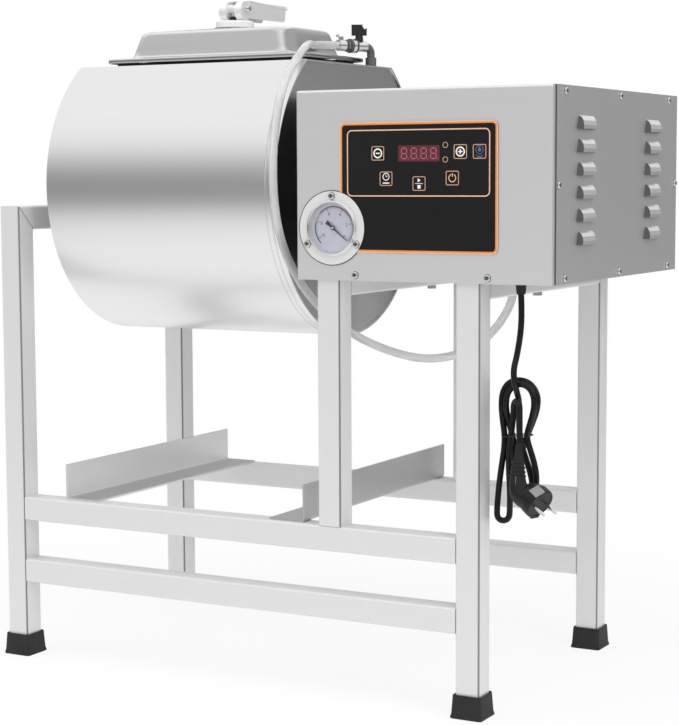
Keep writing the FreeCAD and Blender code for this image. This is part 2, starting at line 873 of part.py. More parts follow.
def ring_face(corners):
    return Part.Face(Part.makePolygon(corners + corners[:1]))


def pan_screw(axis, x, y, z, way):
    """A pan-head screw; its head lies on the face at the place and its shank goes the way given."""
    reach = size.screw_length
    if way > 0:
        head_at = -size.screw_head_height
        shank_at = Dim(0)
    else:
        head_at = Dim(0)
        shank_at = -reach
    place = {"x": (1, 0, 0), "y": (0, 1, 0), "z": (0, 0, 1)}[axis]
    head = rod(axis, *(base + step * head_at for base, step in zip((x, y, z), place)),
               size.screw_head_radius, size.screw_head_height)
    shank = rod(axis, *(base + step * shank_at for base, step in zip((x, y, z), place)),
                size.screw_radius, reach)
    return fuse(head, shank)


def make_panel_screws():
    screws = [pan_screw("x", cover_right, y, z, -1) for y, z in cover_screw_spots()]
    level = box_base + size.screw_inset
    for x in panel_screw_spots():
        screws.append(pan_screw("y", x, box_front, level, 1))
        screws.append(pan_screw("y", x, box_rear, level, -1))
    finish("panel_screws", group(*screws))


# The control panel

def make_control_overlay():
    body = body_piece("control_overlay", overlay_left, box_front, overlay_base)
    outline = new_sketch(body, "front")
    wide = size.overlay_width
    tall = size.overlay_height
    add_rounded_box(outline, wide / 2, tall / 2, wide, tall, size.overlay_corner)
    pad(body, outline, size.overlay_film)
    gauge = new_sketch(body, "front")
    add_circle(gauge, gauge_x - overlay_left, gauge_z - overlay_base,
               size.gauge_flange_radius + size.fit_gap)
    pocket(body, gauge, back=True)


def make_control_board():
    """The circuit board on its pillars, with the display block that fills the panel's window."""
    front = box_front + size.sheet
    board_y = front + size.board_gap
    left = display_left + size.display_width / 2 - size.board_width / 2 + size.pillar_inset
    base = overlay_base + (size.overlay_height - size.board_height) / 2
    pieces = [block(left, board_y, base, size.board_width, size.board_sheet, size.board_height)]
    inset = size.pillar_inset
    for x in (left + inset, left + size.board_width - inset):
        for z in (base + inset, base + size.board_height - inset):
            pieces.append(rod("y", x, front, z, size.pillar_radius, size.board_gap))
    pieces.append(block(display_left, box_front, display_base, size.display_width,
                        size.sheet + size.board_gap, size.display_height))
    finish("control_board", fuse(*pieces))


# The vacuum gauge

def gauge_screw_spots():
    """Three screws round the flange, as steps from its middle."""
    circle = size.gauge_screw_circle
    return [
        (Dim(0), circle),
        (-circle * math.cos(math.radians(30)), -circle / 2),
        (circle * math.cos(math.radians(30)), -circle / 2),
    ]


def gauge_body(label):
    return body_piece(label, gauge_x, box_front, gauge_z)


def make_gauge_case():
    """Flange, bezel ring and can in one pressing, with the pipe stem at the back."""
    body = gauge_body("gauge_case")
    profile = new_sketch(body, "top")
    outer = size.gauge_radius
    bore = outer - size.gauge_wall
    flange = -size.overlay_film
    front = -size.gauge_proud
    back = size.gauge_depth
    end = back + size.gauge_wall
    corners = [
        (Dim(0), end + size.gauge_stem_length),
        (size.gauge_stem_radius, end + size.gauge_stem_length),
        (size.gauge_stem_radius, end),
        (outer, end),
        (outer, Dim(0)),
        (size.gauge_flange_radius, Dim(0)),
        (size.gauge_flange_radius, flange),
        (outer, flange),
        (outer, front),
        (bore - size.gauge_lip, front),
        (bore - size.gauge_lip, front + size.gauge_wall),
        (bore, front + size.gauge_wall),
        (bore, back),
        (Dim(0), back),
    ]
    add_corners(profile, corners)
    revolve(body, profile, "V_Axis")
    holes = new_sketch(body, "front", size.gauge_proud)
    for u, v in gauge_screw_spots():
        add_circle(holes, u, v, size.screw_radius + size.fit_gap)
    pocket(body, holes)


def make_gauge_inside():
    bore = size.gauge_radius - size.gauge_wall - size.fit_gap
    glass = gauge_body("gauge_glass")
    disc = new_sketch(glass, "front", size.gauge_proud - size.gauge_wall)
    add_circle(disc, Dim(0), Dim(0), bore)
    pad(glass, disc, size.gauge_glass, back=True)
    dial = gauge_body("gauge_dial")
    face = new_sketch(dial, "front")
    add_circle(face, Dim(0), Dim(0), bore)
    pad(dial, face, size.dial_sheet, back=True)
    movement = new_sketch(dial, "front")
    add_circle(movement, Dim(0), Dim(0), size.movement_radius)
    pad(dial, movement, size.gauge_depth, back=True)
    hole = new_sketch(dial, "front")
    add_circle(hole, Dim(0), Dim(0), size.spindle_radius + size.shaft_gap)
    pocket(dial, hole, back=False, length=size.spindle_length + size.dial_sheet)


def make_gauge_needle():
    """Pointer, hub and spindle; the body is turned to where the pointer rests."""
    turn = FreeCAD.Rotation(FreeCAD.Vector(0, 1, 0), -float(size.needle_rest_angle))
    body = body_piece("gauge_needle", gauge_x, box_front, gauge_z, turn)
    level = size.needle_level
    blade = new_sketch(body, "front", level)
    wide = size.needle_hub_radius / 2
    tail = wide * size.needle_tail_share
    corners = [
        (-size.needle_tail, -tail),
        (Dim(0), -wide),
        (size.needle_length, -size.needle_tip),
        (size.needle_length, size.needle_tip),
        (Dim(0), wide),
        (-size.needle_tail, tail),
    ]
    add_corners(blade, corners)
    pad(body, blade, size.needle_sheet)
    hub = new_sketch(body, "front", level - size.needle_sheet)
    add_circle(hub, Dim(0), Dim(0), size.needle_hub_radius)
    pad(body, hub, 3 * size.needle_sheet)
    spindle = new_sketch(body, "front", level)
    add_circle(spindle, Dim(0), Dim(0), size.spindle_radius)
    pad(body, spindle, size.spindle_length + level, back=True)


def make_gauge_screws():
    front = box_front - size.overlay_film
    screws = []
    for u, v in gauge_screw_spots():
        screws.append(pan_screw("y", gauge_x + u, front, gauge_z + v, 1))
    finish("gauge_screws", group(*screws))


# The drum

def drum_body(label, x):
    return body_piece(label, x, axis_y, axis_z)


def make_drum_shell():
    body = drum_body("drum_shell", drum_left)
    section = new_sketch(body, "side")
    add_flat_circle(section, size.drum_radius, size.drum_flat)
    add_flat_circle(section, size.drum_radius - size.drum_wall, size.drum_flat - size.drum_wall)
    pad(body, section, size.drum_length)
    mouth = new_sketch(body, "top")
    wide = size.mouth_length + 2 * size.neck_wall + 2 * size.fit_gap
    deep = size.mouth_width + 2 * size.neck_wall + 2 * size.fit_gap
    add_rounded_box(mouth, lid_x - drum_left, Dim(0), wide, deep, size.mouth_corner + size.neck_wall)
    add_circle(mouth, valve_x - drum_left, valve_y - axis_y, size.valve_bore)
    pocket(body, mouth, back=True)


def make_drum_end(label, x, way):
    """An end plate let in a little from the rim, with a hub and a pressed stiffening ring."""
    turn = UPRIGHT if way > 0 else FreeCAD.Rotation(FreeCAD.Vector(0, 0, 1), 180)
    body = body_piece(label, x, axis_y, axis_z, turn)
    plate = new_sketch(body, "side")
    gap = size.drum_wall + size.fit_gap
    add_flat_circle(plate, size.drum_radius - gap, size.drum_flat - gap)
    pad(body, plate, size.drum_wall, back=True)
    ring = new_sketch(body, "side")
    add_circle(ring, Dim(0), Dim(0), size.rib_radius)
    add_circle(ring, Dim(0), Dim(0), size.rib_radius - size.rib_width)
    pad(body, ring, size.rib_height)
    hub = new_sketch(body, "side")
    add_circle(hub, Dim(0), Dim(0), size.hub_radius)
    pad(body, hub, size.hub_sheet)
    bore = new_sketch(body, "side", size.hub_sheet)
    add_circle(bore, Dim(0), Dim(0), size.shaft_radius + size.fit_gap)
    pocket(body, bore)


def make_drum_neck():
    """The welded mouth frame: a flat flange on the drum and a collar that goes down inside."""
    body = body_piece("drum_neck", lid_x, axis_y, flat_top)
    flange = new_sketch(body, "top")
    wide = lid_length - 2 * size.gasket_inset
    deep = size.lid_width - 2 * size.gasket_inset
    add_rounded_box(flange, Dim(0), Dim(0), wide, deep, size.lid_corner - size.gasket_inset / 2)
    pad(body, flange, size.neck_sheet)
    collar = new_sketch(body, "top")
    outer_length = size.mouth_length + 2 * size.neck_wall
    outer_width = size.mouth_width + 2 * size.neck_wall
    outer_corner = size.mouth_corner + size.neck_wall
    add_rounded_box(collar, Dim(0), Dim(0), outer_length, outer_width, outer_corner)
    pad(body, collar, size.neck_depth, back=True)
    mouth = new_sketch(body, "top", size.neck_sheet)
    add_rounded_box(mouth, Dim(0), Dim(0), size.mouth_length, size.mouth_width, size.mouth_corner)
    pocket(body, mouth)


def make_mixing_paddles():
    """Three bent baffles welded along the inside of the shell."""
    paddles = []
    length = size.drum_length - 2 * size.paddle_end_gap
    for angle in (0, 120, 240):
        turn = FreeCAD.Rotation(FreeCAD.Vector(1, 0, 0), angle)
        body = new_body("Paddle", drum_left + size.paddle_end_gap, axis_y, axis_z, turn)
        section = new_sketch(body, "side")
        wall = size.drum_wall
        foot = size.drum_radius - wall - size.fit_gap - wall * wall / (2 * size.drum_radius)
        tip = foot - size.paddle_height
        reach = size.paddle_foot
        corners = [
            (Dim(0), -foot),
            (wall, -foot),
            (wall, -tip - wall),
            (wall + reach, -tip + reach / 2 - wall),
            (wall + reach, -tip + reach / 2),
            (Dim(0), -tip),
        ]
        add_corners(section, corners)
        pad(body, section, length)
        paddles.append(body)
    finish("mixing_paddles", group(*paddles))


def make_shafts():
    """The stub on the left and the driven shaft on the right, with its coupling sleeve."""
    right_plate = drum_right - size.drum_lip
    left_plate = drum_left + size.drum_lip
    radius = size.shaft_radius
    start = size.tube / 2 - size.housing_width / 2 - size.drive_gap / 2
    shoulder = size.hub_sheet + size.drum_wall
    stub = rod("x", start, axis_y, axis_z, radius, left_plate + shoulder - start)
    cap = rod("x", left_plate + shoulder - size.hub_sheet, axis_y, axis_z, radius * 2, size.hub_sheet)
    finish("left_stub_shaft", fuse(stub, cap))
    end = coupling_left() + size.coupling_length
    inner = right_plate - shoulder
    shaft = rod("x", inner, axis_y, axis_z, radius, end - inner)
    head = rod("x", inner, axis_y, axis_z, radius * 2, size.hub_sheet)
    sleeve = rod("x", coupling_left(), axis_y, axis_z, size.coupling_radius, size.coupling_length)
    drive_end = gearbox_left() + size.gearbox_length / 2
    output = rod("x", end, axis_y, axis_z, size.motor_shaft_radius, drive_end - end)
    finish("drive_shaft", fuse(shaft, head, sleeve, output))


def coupling_left():
    return box_left + size.sheet + size.housing_width + size.drive_gap


def gearbox_left():
    return coupling_left() + size.coupling_length + size.drive_gap + size.bracket_plate


# Bearings and drive

def make_pillow_block():
    """The left bearing's housing, an arch on a base that is bolted to the top rail."""
    left = size.tube / 2 - size.housing_width / 2
    base_y = axis_y - size.housing_length / 2
    foot = block(left, base_y, size.high_leg_top, size.housing_width, size.housing_length, size.housing_base)
    arch = rod("x", left, axis_y, axis_z, size.housing_radius, size.housing_width)
    cheek_y = axis_y - size.housing_radius
    cheek = block(left, cheek_y, size.high_leg_top, size.housing_width, 2 * size.housing_radius, size.bearing_rise)
    tools = [rod("x", left, axis_y, axis_z, size.bearing_radius + size.fit_gap, size.housing_width)]
    for side in (-1, 1):
        y = axis_y + side * size.housing_bolt_pitch / 2
        tools.append(rod("z", size.tube / 2, y, size.high_leg_top, size.bolt_radius + size.fit_gap, size.housing_base))
    finish("pillow_block", cut(fuse(foot, arch, cheek), *tools))


def make_flange_bearing():
    """The right bearing's housing, a square flange and a barrel on the box's left wall."""
    left = box_left + size.sheet
    flange = size.flange_half
    body = body_piece("flange_bearing", left, axis_y, axis_z)
    plate = new_sketch(body, "side")
    add_rounded_box(plate, Dim(0), Dim(0), 2 * flange, 2 * flange, size.screw_inset)
    pad(body, plate, size.flange_sheet)
    barrel = new_sketch(body, "side")
    add_circle(barrel, Dim(0), Dim(0), size.housing_radius)
    pad(body, barrel, size.housing_width)
    bores = new_sketch(body, "side")
    add_circle(bores, Dim(0), Dim(0), size.bearing_radius + size.fit_gap)
    add_flange_screws(bores, Dim(0), Dim(0))
    pocket(body, bores, back=True)


def make_bearing_inserts():
    rings = []
    left = size.tube / 2 - size.bearing_width / 2
    right = box_left + size.sheet + (size.housing_width - size.bearing_width) / 2
    for x in (left, right):
        ring = rod("x", x, axis_y, axis_z, size.bearing_radius, size.bearing_width)
        bore = rod("x", x, axis_y, axis_z, size.shaft_radius + size.shaft_gap, size.bearing_width)
        rings.append(cut(ring, bore))
    finish("bearing_inserts", group(*rings))


def make_gear_motor():
    """Gearbox with a flat face, motor barrel with cooling ribs, and its end cap."""
    body = body_piece("gear_motor", gearbox_left(), axis_y, axis_z)
    profile = new_sketch(body, "top")
    bore = size.motor_shaft_radius + size.shaft_gap
    gearbox = size.gearbox_radius
    motor = size.motor_radius
    split = size.gearbox_length
    end = split + size.motor_length
    cap = end - size.motor_length / 5
    corners = [
        (Dim(0), bore),
        (Dim(0), gearbox),
        (split, gearbox),
        (split, motor),
        (cap, motor),
        (cap, motor - size.tube_corner),
        (end, motor - size.tube_corner),
        (end, Dim(0)),
        (split / 2 + size.shaft_gap, Dim(0)),
        (split / 2 + size.shaft_gap, bore),
    ]
    add_corners(profile, corners)
    revolve(body, profile, "H_Axis")


def make_motor_bracket():
    """An angle plate: the gearbox is bolted to its upright and its foot lies on the box floor."""
    plate = size.bracket_plate
    left = gearbox_left() - plate
    front = axis_y - size.bracket_width / 2
    top = axis_z + size.gearbox_radius
    upright = block(left, front, floor_top, plate, size.bracket_width, top - floor_top)
    foot = block(left, front, floor_top, size.gearbox_length, size.bracket_width, plate)
    bore = rod("x", left, axis_y, axis_z, size.coupling_radius, plate)
    finish("motor_bracket", cut(fuse(upright, foot), bore))


def make_vacuum_pump():
    """A small diaphragm pump: motor barrel, square head and ports, on a plate with rubber pads."""
    head = size.pump_head
    length = size.pump_length + head
    depth = 2 * size.pump_radius
    base_z = floor_top + size.pump_pad
    middle = pump_y + size.pump_radius
    level = base_z + size.pump_base + size.pump_radius
    plate = block(pump_x, pump_y, base_z, length, depth, size.pump_base)
    barrel = rod("x", pump_x, middle, level, size.pump_radius - size.fit_gap, size.pump_length)
    box = block(pump_x + size.pump_length, middle - head / 2, base_z, head, head, head + size.pump_base)
    pieces = [plate, barrel, box]
    for px in (pump_x + size.pump_pad, pump_x + length - size.pump_pad):
        for py in (pump_y + size.pump_pad, pump_y + depth - size.pump_pad):
            pieces.append(rod("z", px, py, floor_top, size.pump_pad / 2, size.pump_pad))
    for side in (-1, 1):
        port_x = pump_x + size.pump_length + head / 2 + side * head / 4
        pieces.append(rod("z", port_x, middle, base_z + head, size.elbow_radius - 1, head / 2))
    finish("vacuum_pump", fuse(*pieces))


def make_hose_fitting():
    """The bulkhead fitting in the box floor: hexagon and nipple below, lock nut and elbow above."""
    x = fitting_x
    y = fitting_y
    pipe = size.hose_diameter / 2
    base = size.low_leg_top - size.fitting_reach
    hexagon = doc.addObject("Part::Prism", "Hexagon")
    hexagon.Polygon = 6
    bind(hexagon, "Circumradius", size.fitting_hex / 2)
    bind(hexagon, "Height", size.fitting_reach / 2)
    put(hexagon, x, y, size.low_leg_top - size.fitting_reach / 2)
    nut = doc.addObject("Part::Prism", "Nut")
    nut.Polygon = 6
    bind(nut, "Circumradius", size.fitting_hex / 2)
    bind(nut, "Height", size.fitting_reach / 2)
    put(nut, x, y, floor_top)
    stem = rod("z", x, y, base, pipe, 3 * size.fitting_reach)
    arm = rod("y", x, y, base + 2.5 * size.fitting_reach, pipe - 1, size.fitting_hex)
    finish("hose_fitting", fuse(hexagon, nut, stem, arm))


# Lid and clamp

def lid_base():
    return flat_top + size.neck_sheet + size.gasket


def make_lid_gasket():
    body = body_piece("lid_gasket", lid_x, axis_y, flat_top + size.neck_sheet)
    ring = new_sketch(body, "top")
    wide = lid_length - 2 * size.gasket_inset
    deep = size.lid_width - 2 * size.gasket_inset
    add_rounded_box(ring, Dim(0), Dim(0), wide, deep, size.lid_corner - size.gasket_inset / 2)
    add_rounded_box(ring, Dim(0), Dim(0), size.mouth_length, size.mouth_width, size.mouth_corner)
    pad(body, ring, size.gasket)


def make_lid_pan():
    """A deep-drawn lid: a thick flange round a raised, hollow pan with drafted sides and a crowned top."""
    body = body_piece("lid_pan", lid_x, axis_y, lid_base())
    flange = new_sketch(body, "top")
    add_rounded_box(flange, Dim(0), Dim(0), lid_length, size.lid_width, size.lid_corner)
    pad(body, flange, size.lid_edge)
    shoulder = size.lid_edge + size.pan_shoulder
    top = size.lid_edge + size.pan_height
    loft(body, [pan_ring(body, size.lid_edge, Dim(0)), pan_ring(body, shoulder, size.pan_draft)])
    loft(body, [pan_ring(body, shoulder, size.pan_draft), crown_ring(body, top)])
    level = float(shoulder)
    round_edges(body, size.pan_edge, lambda at, along: abs(at.z - level) < 0.1)
    skin = size.lid_sheet
    inside = new_sketch(body, "top")
    wide = size.pan_length - 2 * skin
    deep = size.pan_width - 2 * skin
    add_rounded_box(inside, Dim(0), Dim(0), wide, deep, size.lid_corner - skin)
    pocket(body, inside, back=True, length=size.lid_edge)
    inner_shoulder = shoulder - size.pan_edge / 2
    inner_inset = size.pan_draft + skin
    low = pan_ring(body, size.lid_edge, skin)
    loft(body, [low, pan_ring(body, inner_shoulder, inner_inset)], "SubtractiveLoft")
    crown = new_sketch(body, "top", top - skin)
    add_rounded_box(crown, Dim(0), Dim(0), 2 * size.disc_radius, 2 * size.disc_radius, size.lid_corner)
    loft(body, [pan_ring(body, inner_shoulder, inner_inset), crown], "SubtractiveLoft")
    hole = new_sketch(body, "top")
    add_circle(hole, Dim(0), Dim(0), size.stud_radius + size.handle_gap)
    pocket(body, hole, back=True)


def pan_ring(body, level, inset):
    """The pan's outline at a level, drawn in from its widest by an inset."""
    sketch = new_sketch(body, "top", level)
    wide = size.pan_length - 2 * inset
    deep = size.pan_width - 2 * inset
    add_rounded_box(sketch, Dim(0), Dim(0), wide, deep, size.lid_corner - inset / 4)
    return sketch


def crown_ring(body, level):
    """The level seat of the clamp disc at the crown."""
    sketch = new_sketch(body, "top", level)
    side = 2 * (size.disc_radius + size.disc_edge)
    add_rounded_box(sketch, Dim(0), Dim(0), side, side, size.lid_corner)
    return sketch


def pan_top():
    return lid_base() + size.lid_edge + size.pan_height


def make_clamp_disc():
    body = body_piece("clamp_disc", lid_x, axis_y, pan_top())
    disc = new_sketch(body, "top")
    add_circle(disc, Dim(0), Dim(0), size.disc_radius)
    add_circle(disc, Dim(0), Dim(0), size.stud_radius + size.handle_gap)
    pad(body, disc, size.disc_sheet)
    level = float(size.disc_sheet)
    rim = float(size.disc_radius)
    round_edges(body, size.disc_edge, lambda at, along: abs(at.z - level) < 0.1
                and math.hypot(at.x, at.y) > rim - 0.1)


def pin_height():
    return pan_top() + size.disc_sheet + size.lobe_radius + size.lobe_throw + size.handle_gap


def make_clamp_bar():
    """The bar that hooks under the mouth's long sides, with the stud that comes up through the lid."""
    under = flat_top - size.neck_depth - size.bar_sheet - size.handle_gap
    length = size.mouth_width + 2 * size.neck_wall + 2 * size.bar_overlap
    bar = block(lid_x - size.bar_width / 2, axis_y - length / 2, under, size.bar_width, length, size.bar_sheet)
    stud = rod("z", lid_x, axis_y, under, size.stud_radius, pin_height() + size.pin_radius - under)
    finish("clamp_bar", fuse(bar, stud))


def lobe_left():
    return lid_x - size.lobe_slot / 2 - size.lobe_width


def make_cam_pin():
    """The barrel nut: it lies across the two lobes and the stud passes through its middle."""
    width = 2 * size.lobe_width + size.lobe_slot
    barrel = rod("x", lobe_left(), axis_y, pin_height(), size.pin_radius, width)
    hole_z = pin_height() - size.pin_radius - 1
    hole = rod("z", lid_x, axis_y, hole_z, size.stud_radius + size.fit_gap, 2 * size.pin_radius + 2)
    finish("cam_pin", cut(barrel, hole))


def make_cam_lever():
    """Two eccentric lobes and a channel handle that runs to the rear."""
    body = body_piece("cam_lever", lobe_left(), axis_y, pin_height())
    width = 2 * size.lobe_width + size.lobe_slot
    lobes = new_sketch(body, "side")
    add_circle(lobes, Dim(0), -size.lobe_throw, size.lobe_radius)
    pad(body, lobes, width)
    top = size.lobe_radius - size.lobe_throw
    handle = new_sketch(body, "side")
    reach = size.lever_length
    corners = [
        (Dim(0), top),
        (Dim(0), Dim(0)),
        (size.lobe_radius, -size.lever_depth + top),
        (reach - size.lever_depth, -size.lever_depth + top),
        (reach - size.lever_sheet, -size.lever_sheet + top),
        (reach, -size.lever_sheet + top),
        (reach, top),
    ]
    add_corners(handle, corners)
    pad(body, handle, width)
    inside = new_sketch(body, "top", top - size.lever_sheet)
    skin = size.lever_sheet / 2
    clear = size.lobe_radius + 1
    add_corners(inside, [(skin, clear), (width - skin, clear), (width - skin, reach), (skin, reach)])
    pocket(body, inside)
    slot = new_sketch(body, "top", 2 * size.lobe_radius)
    left = size.lobe_width
    right = size.lobe_width + size.lobe_slot
    low = -(size.lobe_radius + size.lobe_throw + 1)
    add_corners(slot, [(left, low), (right, low), (right, clear), (left, clear)])
    pocket(body, slot)
    bore = new_sketch(body, "side")
    add_circle(bore, Dim(0), Dim(0), size.pin_radius + size.shaft_gap)
    pocket(body, bore, back=True)


# The valve on the drum

def valve_level():
    return flat_top + size.valve_height


def valve_turn():
    return FreeCAD.Rotation(FreeCAD.Vector(0, 0, 1), float(size.valve_turn))


def valve_spot(along):
    """A place on the valve's level axis, by its distance from the elbow's upright."""
    angle = math.radians(float(size.valve_turn))
    x = valve_x + along * math.cos(angle)
    y = valve_y + along * math.sin(angle)
    return x, y, valve_level()


def level_rod(along, radius, length):
    """A cylinder on the valve's level axis."""
    item = doc.addObject("Part::Cylinder", "Rod")
    bind(item, "Radius", radius)
    bind(item, "Height", length)
    put(item, *valve_spot(along), valve_turn().multiply(ALONG["x"]))
    return item


def level_nut(along, radius, length):
    item = doc.addObject("Part::Prism", "Nut")
    item.Polygon = 6
    bind(item, "Circumradius", radius)
    bind(item, "Height", length)
    put(item, *valve_spot(along), valve_turn().multiply(ALONG["x"]))
    return item


def make_valve_elbow():
    """The collar on the drum, the upright pipe and its bend to the level axis."""
    bend = size.elbow_bend
    x = valve_x
    y = valve_y
    collar = rod("z", x, y, flat_top, size.collar_radius, size.collar_height)
    spigot = rod("z", x, y, flat_top - 3 * size.drum_wall, size.valve_bore - size.fit_gap, 3 * size.drum_wall)
    upright = rod("z", x, y, flat_top, size.elbow_radius, size.valve_height - bend)
    corner = doc.addObject("Part::Torus", "Bend")
    bind(corner, "Radius1", bend)
    bind(corner, "Radius2", size.elbow_radius)
    corner.Angle3 = 90
    turn = valve_turn().multiply(FreeCAD.Rotation(FreeCAD.Vector(1, 0, 0), 90))
    turn = turn.multiply(FreeCAD.Rotation(FreeCAD.Vector(0, 0, 1), 90))
    spot = valve_spot(bend)
    put(corner, spot[0], spot[1], valve_level() - bend, turn)
    finish("valve_elbow", fuse(collar, spigot, upright, corner))


def make_valve_body():
    """Ball valve barrel with its stem boss, the hexagon joint and the barb that takes the hose."""
    start = size.elbow_bend
    barrel = level_rod(start, size.valve_body_radius, size.valve_body_length)
    nut_at = start + size.valve_body_length
    nut = level_nut(nut_at, size.valve_nut_radius, size.valve_nut_length)
    barb = level_rod(nut_at + size.valve_nut_length, size.hose_diameter / 2, size.barb_length)
    x, y, z = valve_spot(size.valve_stem_at)
    boss = rod("z", x, y, z, size.elbow_radius, size.valve_body_radius + 2)
    stem_bore = rod("z", x, y, z, size.elbow_radius / 2 + size.shaft_gap, size.valve_body_radius + 3)
    finish("valve_body", cut(fuse(barrel, nut, barb, boss), stem_bore))


def make_valve_handle():
    """The T-shaped handle on the valve's stem, in line with the pipe when the valve is open."""
    x, y, z = valve_spot(size.valve_stem_at)
    seat = z + size.valve_body_radius + 2 + size.handle_gap
    stem = rod("z", x, y, z + size.handle_gap, size.elbow_radius / 2, seat - z)
    hub = rod("z", x, y, seat, size.elbow_radius, size.handle_height)
    bar = doc.addObject("Part::Box", "Wing")
    bind(bar, "Length", size.handle_length)
    bind(bar, "Width", size.handle_width)
    bind(bar, "Height", size.handle_height / 2)
    angle = math.radians(float(size.valve_turn))
    half = size.handle_length / 2
    side = size.handle_width / 2
    corner_x = x - half * math.cos(angle) + side * math.sin(angle)
    corner_y = y - half * math.sin(angle) - side * math.cos(angle)
    put(bar, corner_x, corner_y, seat + size.handle_height / 2, valve_turn())
    finish("valve_handle", fuse(stem, hub, bar))


def hose_start():
    return size.elbow_bend + size.valve_body_length + size.valve_nut_length + size.barb_length


def make_hose_clamp():
    """A worm-drive clamp round the barb, with its screw housing on top."""
    along = hose_start() - size.barb_length / 2 - size.clamp_width / 2
    inner = size.hose_diameter / 2 + size.fit_gap
    ring = level_rod(along, inner + size.clamp_ring, size.clamp_width)
    screw = rod("z", *valve_spot(along + size.clamp_width / 2), size.clamp_ring * 1.5, inner + 3 * size.clamp_ring)
    bore = level_rod(along, inner, size.clamp_width)
    finish("hose_clamp", cut(fuse(ring, screw), bore))


# Hose, mains cord and plug

# The corners of the hose between its ends, as steps from the drum's axis at its right-hand end.
HOSE_STEPS = [
    (-44.5, -33.0, 180.0), (-38.0, -62.0, 179.5), (-25.0, -92.0, 174.0), (-14.5, -121.0, 160.0),
    (-7.5, -149.0, 133.0), (-3.0, -177.0, 93.0), (0.0, -194.0, 43.0), (2.0, -197.0, -12.0),
    (5.0, -187.0, -62.0), (13.0, -167.0, -104.0), (30.0, -143.0, -142.0), (58.0, -116.0, -172.0),
    (94.0, -86.0, -192.0), (134.0, -53.0, -199.0), (169.3, -17.3, -192.3), (191.5, 5.3, -176.3),
    (205.9, 19.8, -153.3),
]
# The corners of the mains cord below its bushing, as steps from where it leaves the box.
CORD_STEPS = [(0.0, 0.0, -40.0), (-1.4, 0.0, -65.0), (-4.2, 0.0, -93.0), (-8.5, 0.0, -118.0)]
# Outer shape of the tied hank from its top to its bottom: height, left and right edge, front and rear.
HANK_LEVELS = [
    (-118.0, -15.0, 13.0, -7.0, 7.0), (-128.0, -22.0, 22.0, -9.0, 9.0), (-144.0, -26.5, 24.6, -10.0, 10.0),
    (-166.0, -22.0, 20.0, -12.0, 12.0), (-179.0, -20.0, 16.0, -12.0, 12.0), (-206.0, -24.0, 20.0, -7.0, 8.0),
    (-231.0, -27.0, 22.0, -7.0, 7.0), (-256.0, -28.5, 6.0, -7.0, 7.0), (-283.0, -26.0, -12.0, -4.0, 4.0),
]
HANK_CORNER = 0.45
PLUG_FACE = (38.0, -32.0, -254.0)
PLUG_WAY = (0.80, -0.30, -0.52)
GRIP_BASE = (8.0, -26.0, -225.0)
GRIP_TOP = (5.5, -15.0, -190.0)


def along_drum(step):
    """A place given as steps from the drum's axis at its right-hand end."""
    return drum_right + step[0], axis_y + step[1], axis_z + step[2]


def below_exit(step):
    """A place given as steps from where the mains cord leaves the box."""
    return FreeCAD.Vector(cord_x + step[0], size.cord_y + step[1], size.low_leg_top + step[2])


def cord_tube(label, points, diameter):
    """A round tube of straight runs joined by tangent arcs."""
    spots = [FreeCAD.Vector(*point) for point in points]
    edges = []
    radii = []
    here = spots[0]
    for before, corner, after in zip(spots, spots[1:], spots[2:]):
        back = before - corner
        ahead = after - corner
        turn = math.pi - back.getAngle(ahead)
        reach = 0.45 * min(back.Length, ahead.Length)
        radius = reach / math.tan(turn / 2)
        back.normalize()
        ahead.normalize()
        start = corner + back * reach
        end = corner + ahead * reach
        inward = back + ahead
        inward.normalize()
        middle = corner + inward * (radius / math.cos(turn / 2) - radius)
        edges.append(Part.LineSegment(here, start).toShape())
        edges.append(Part.Arc(start, middle, end).toShape())
        radii.append(round(radius))
        here = end
    edges.append(Part.LineSegment(here, spots[-1]).toShape())
    path = Part.Wire(edges)
    ring = Part.Wire(Part.Circle(spots[0], spots[1] - spots[0], diameter / 2).toShape())
    tube = path.makePipeShell([ring], True, False)
    expected = math.pi * diameter ** 2 / 4 * path.Length
    print(label, "length", round(path.Length, 1), "radii", radii, "volume share", round(tube.Volume / expected, 4))
    return raw_piece(label, tube)


def make_hose():
    """From the valve's barb down the front of the drum and up to the fitting in the box floor."""
    mouth = size.low_leg_top - size.fitting_reach
    first = [valve_spot(hose_start()), valve_spot(hose_start() + size.hose_lead)]
    last = [(fitting_x, fitting_y, mouth - size.hose_rise), (fitting_x, fitting_y, mouth)]
    cord_tube("vacuum_hose", first + [along_drum(step) for step in HOSE_STEPS] + last, size.hose_diameter)


def make_cord():
    mouth = below_exit((0.0, 0.0, -size.bushing_height))
    cord_tube("mains_cord", [mouth] + [below_exit(step) for step in CORD_STEPS], size.cord_diameter)


def make_cord_bushing():
    """A snap bushing in the floor plate, with a tapered strain relief below it."""
    body = body_piece("cord_bushing", cord_x, size.cord_y, size.low_leg_top)
    profile = new_sketch(body, "front")
    bore = size.cord_diameter / 2 + size.fit_gap
    outer = size.bushing_radius
    neck = outer - size.sheet
    low = -size.bushing_height
    corners = [
        (Dim(0), low),
        (neck - 1, low),
        (outer, -size.sheet),
        (outer, Dim(0)),
        (neck, Dim(0)),
        (neck, size.sheet),
        (outer, size.sheet),
        (neck, 3 * size.sheet),
        (bore, 3 * size.sheet),
        (bore, low + size.sheet),
        (Dim(0), low + size.sheet),
    ]
    add_corners(profile, corners)
    revolve(body, profile, "V_Axis")


def make_cord_hank():
    wires = []
    for level, left, right, front, rear in HANK_LEVELS:
        low = below_exit((left, front, level))
        high = below_exit((right, rear, level))
        radius = min(right - left, rear - front) * HANK_CORNER
        wires.append(rounded_wire(low.x, high.x, low.y, high.y, low.z, radius))
    raw_piece("cord_hank", Part.makeLoft(wires, True, True))


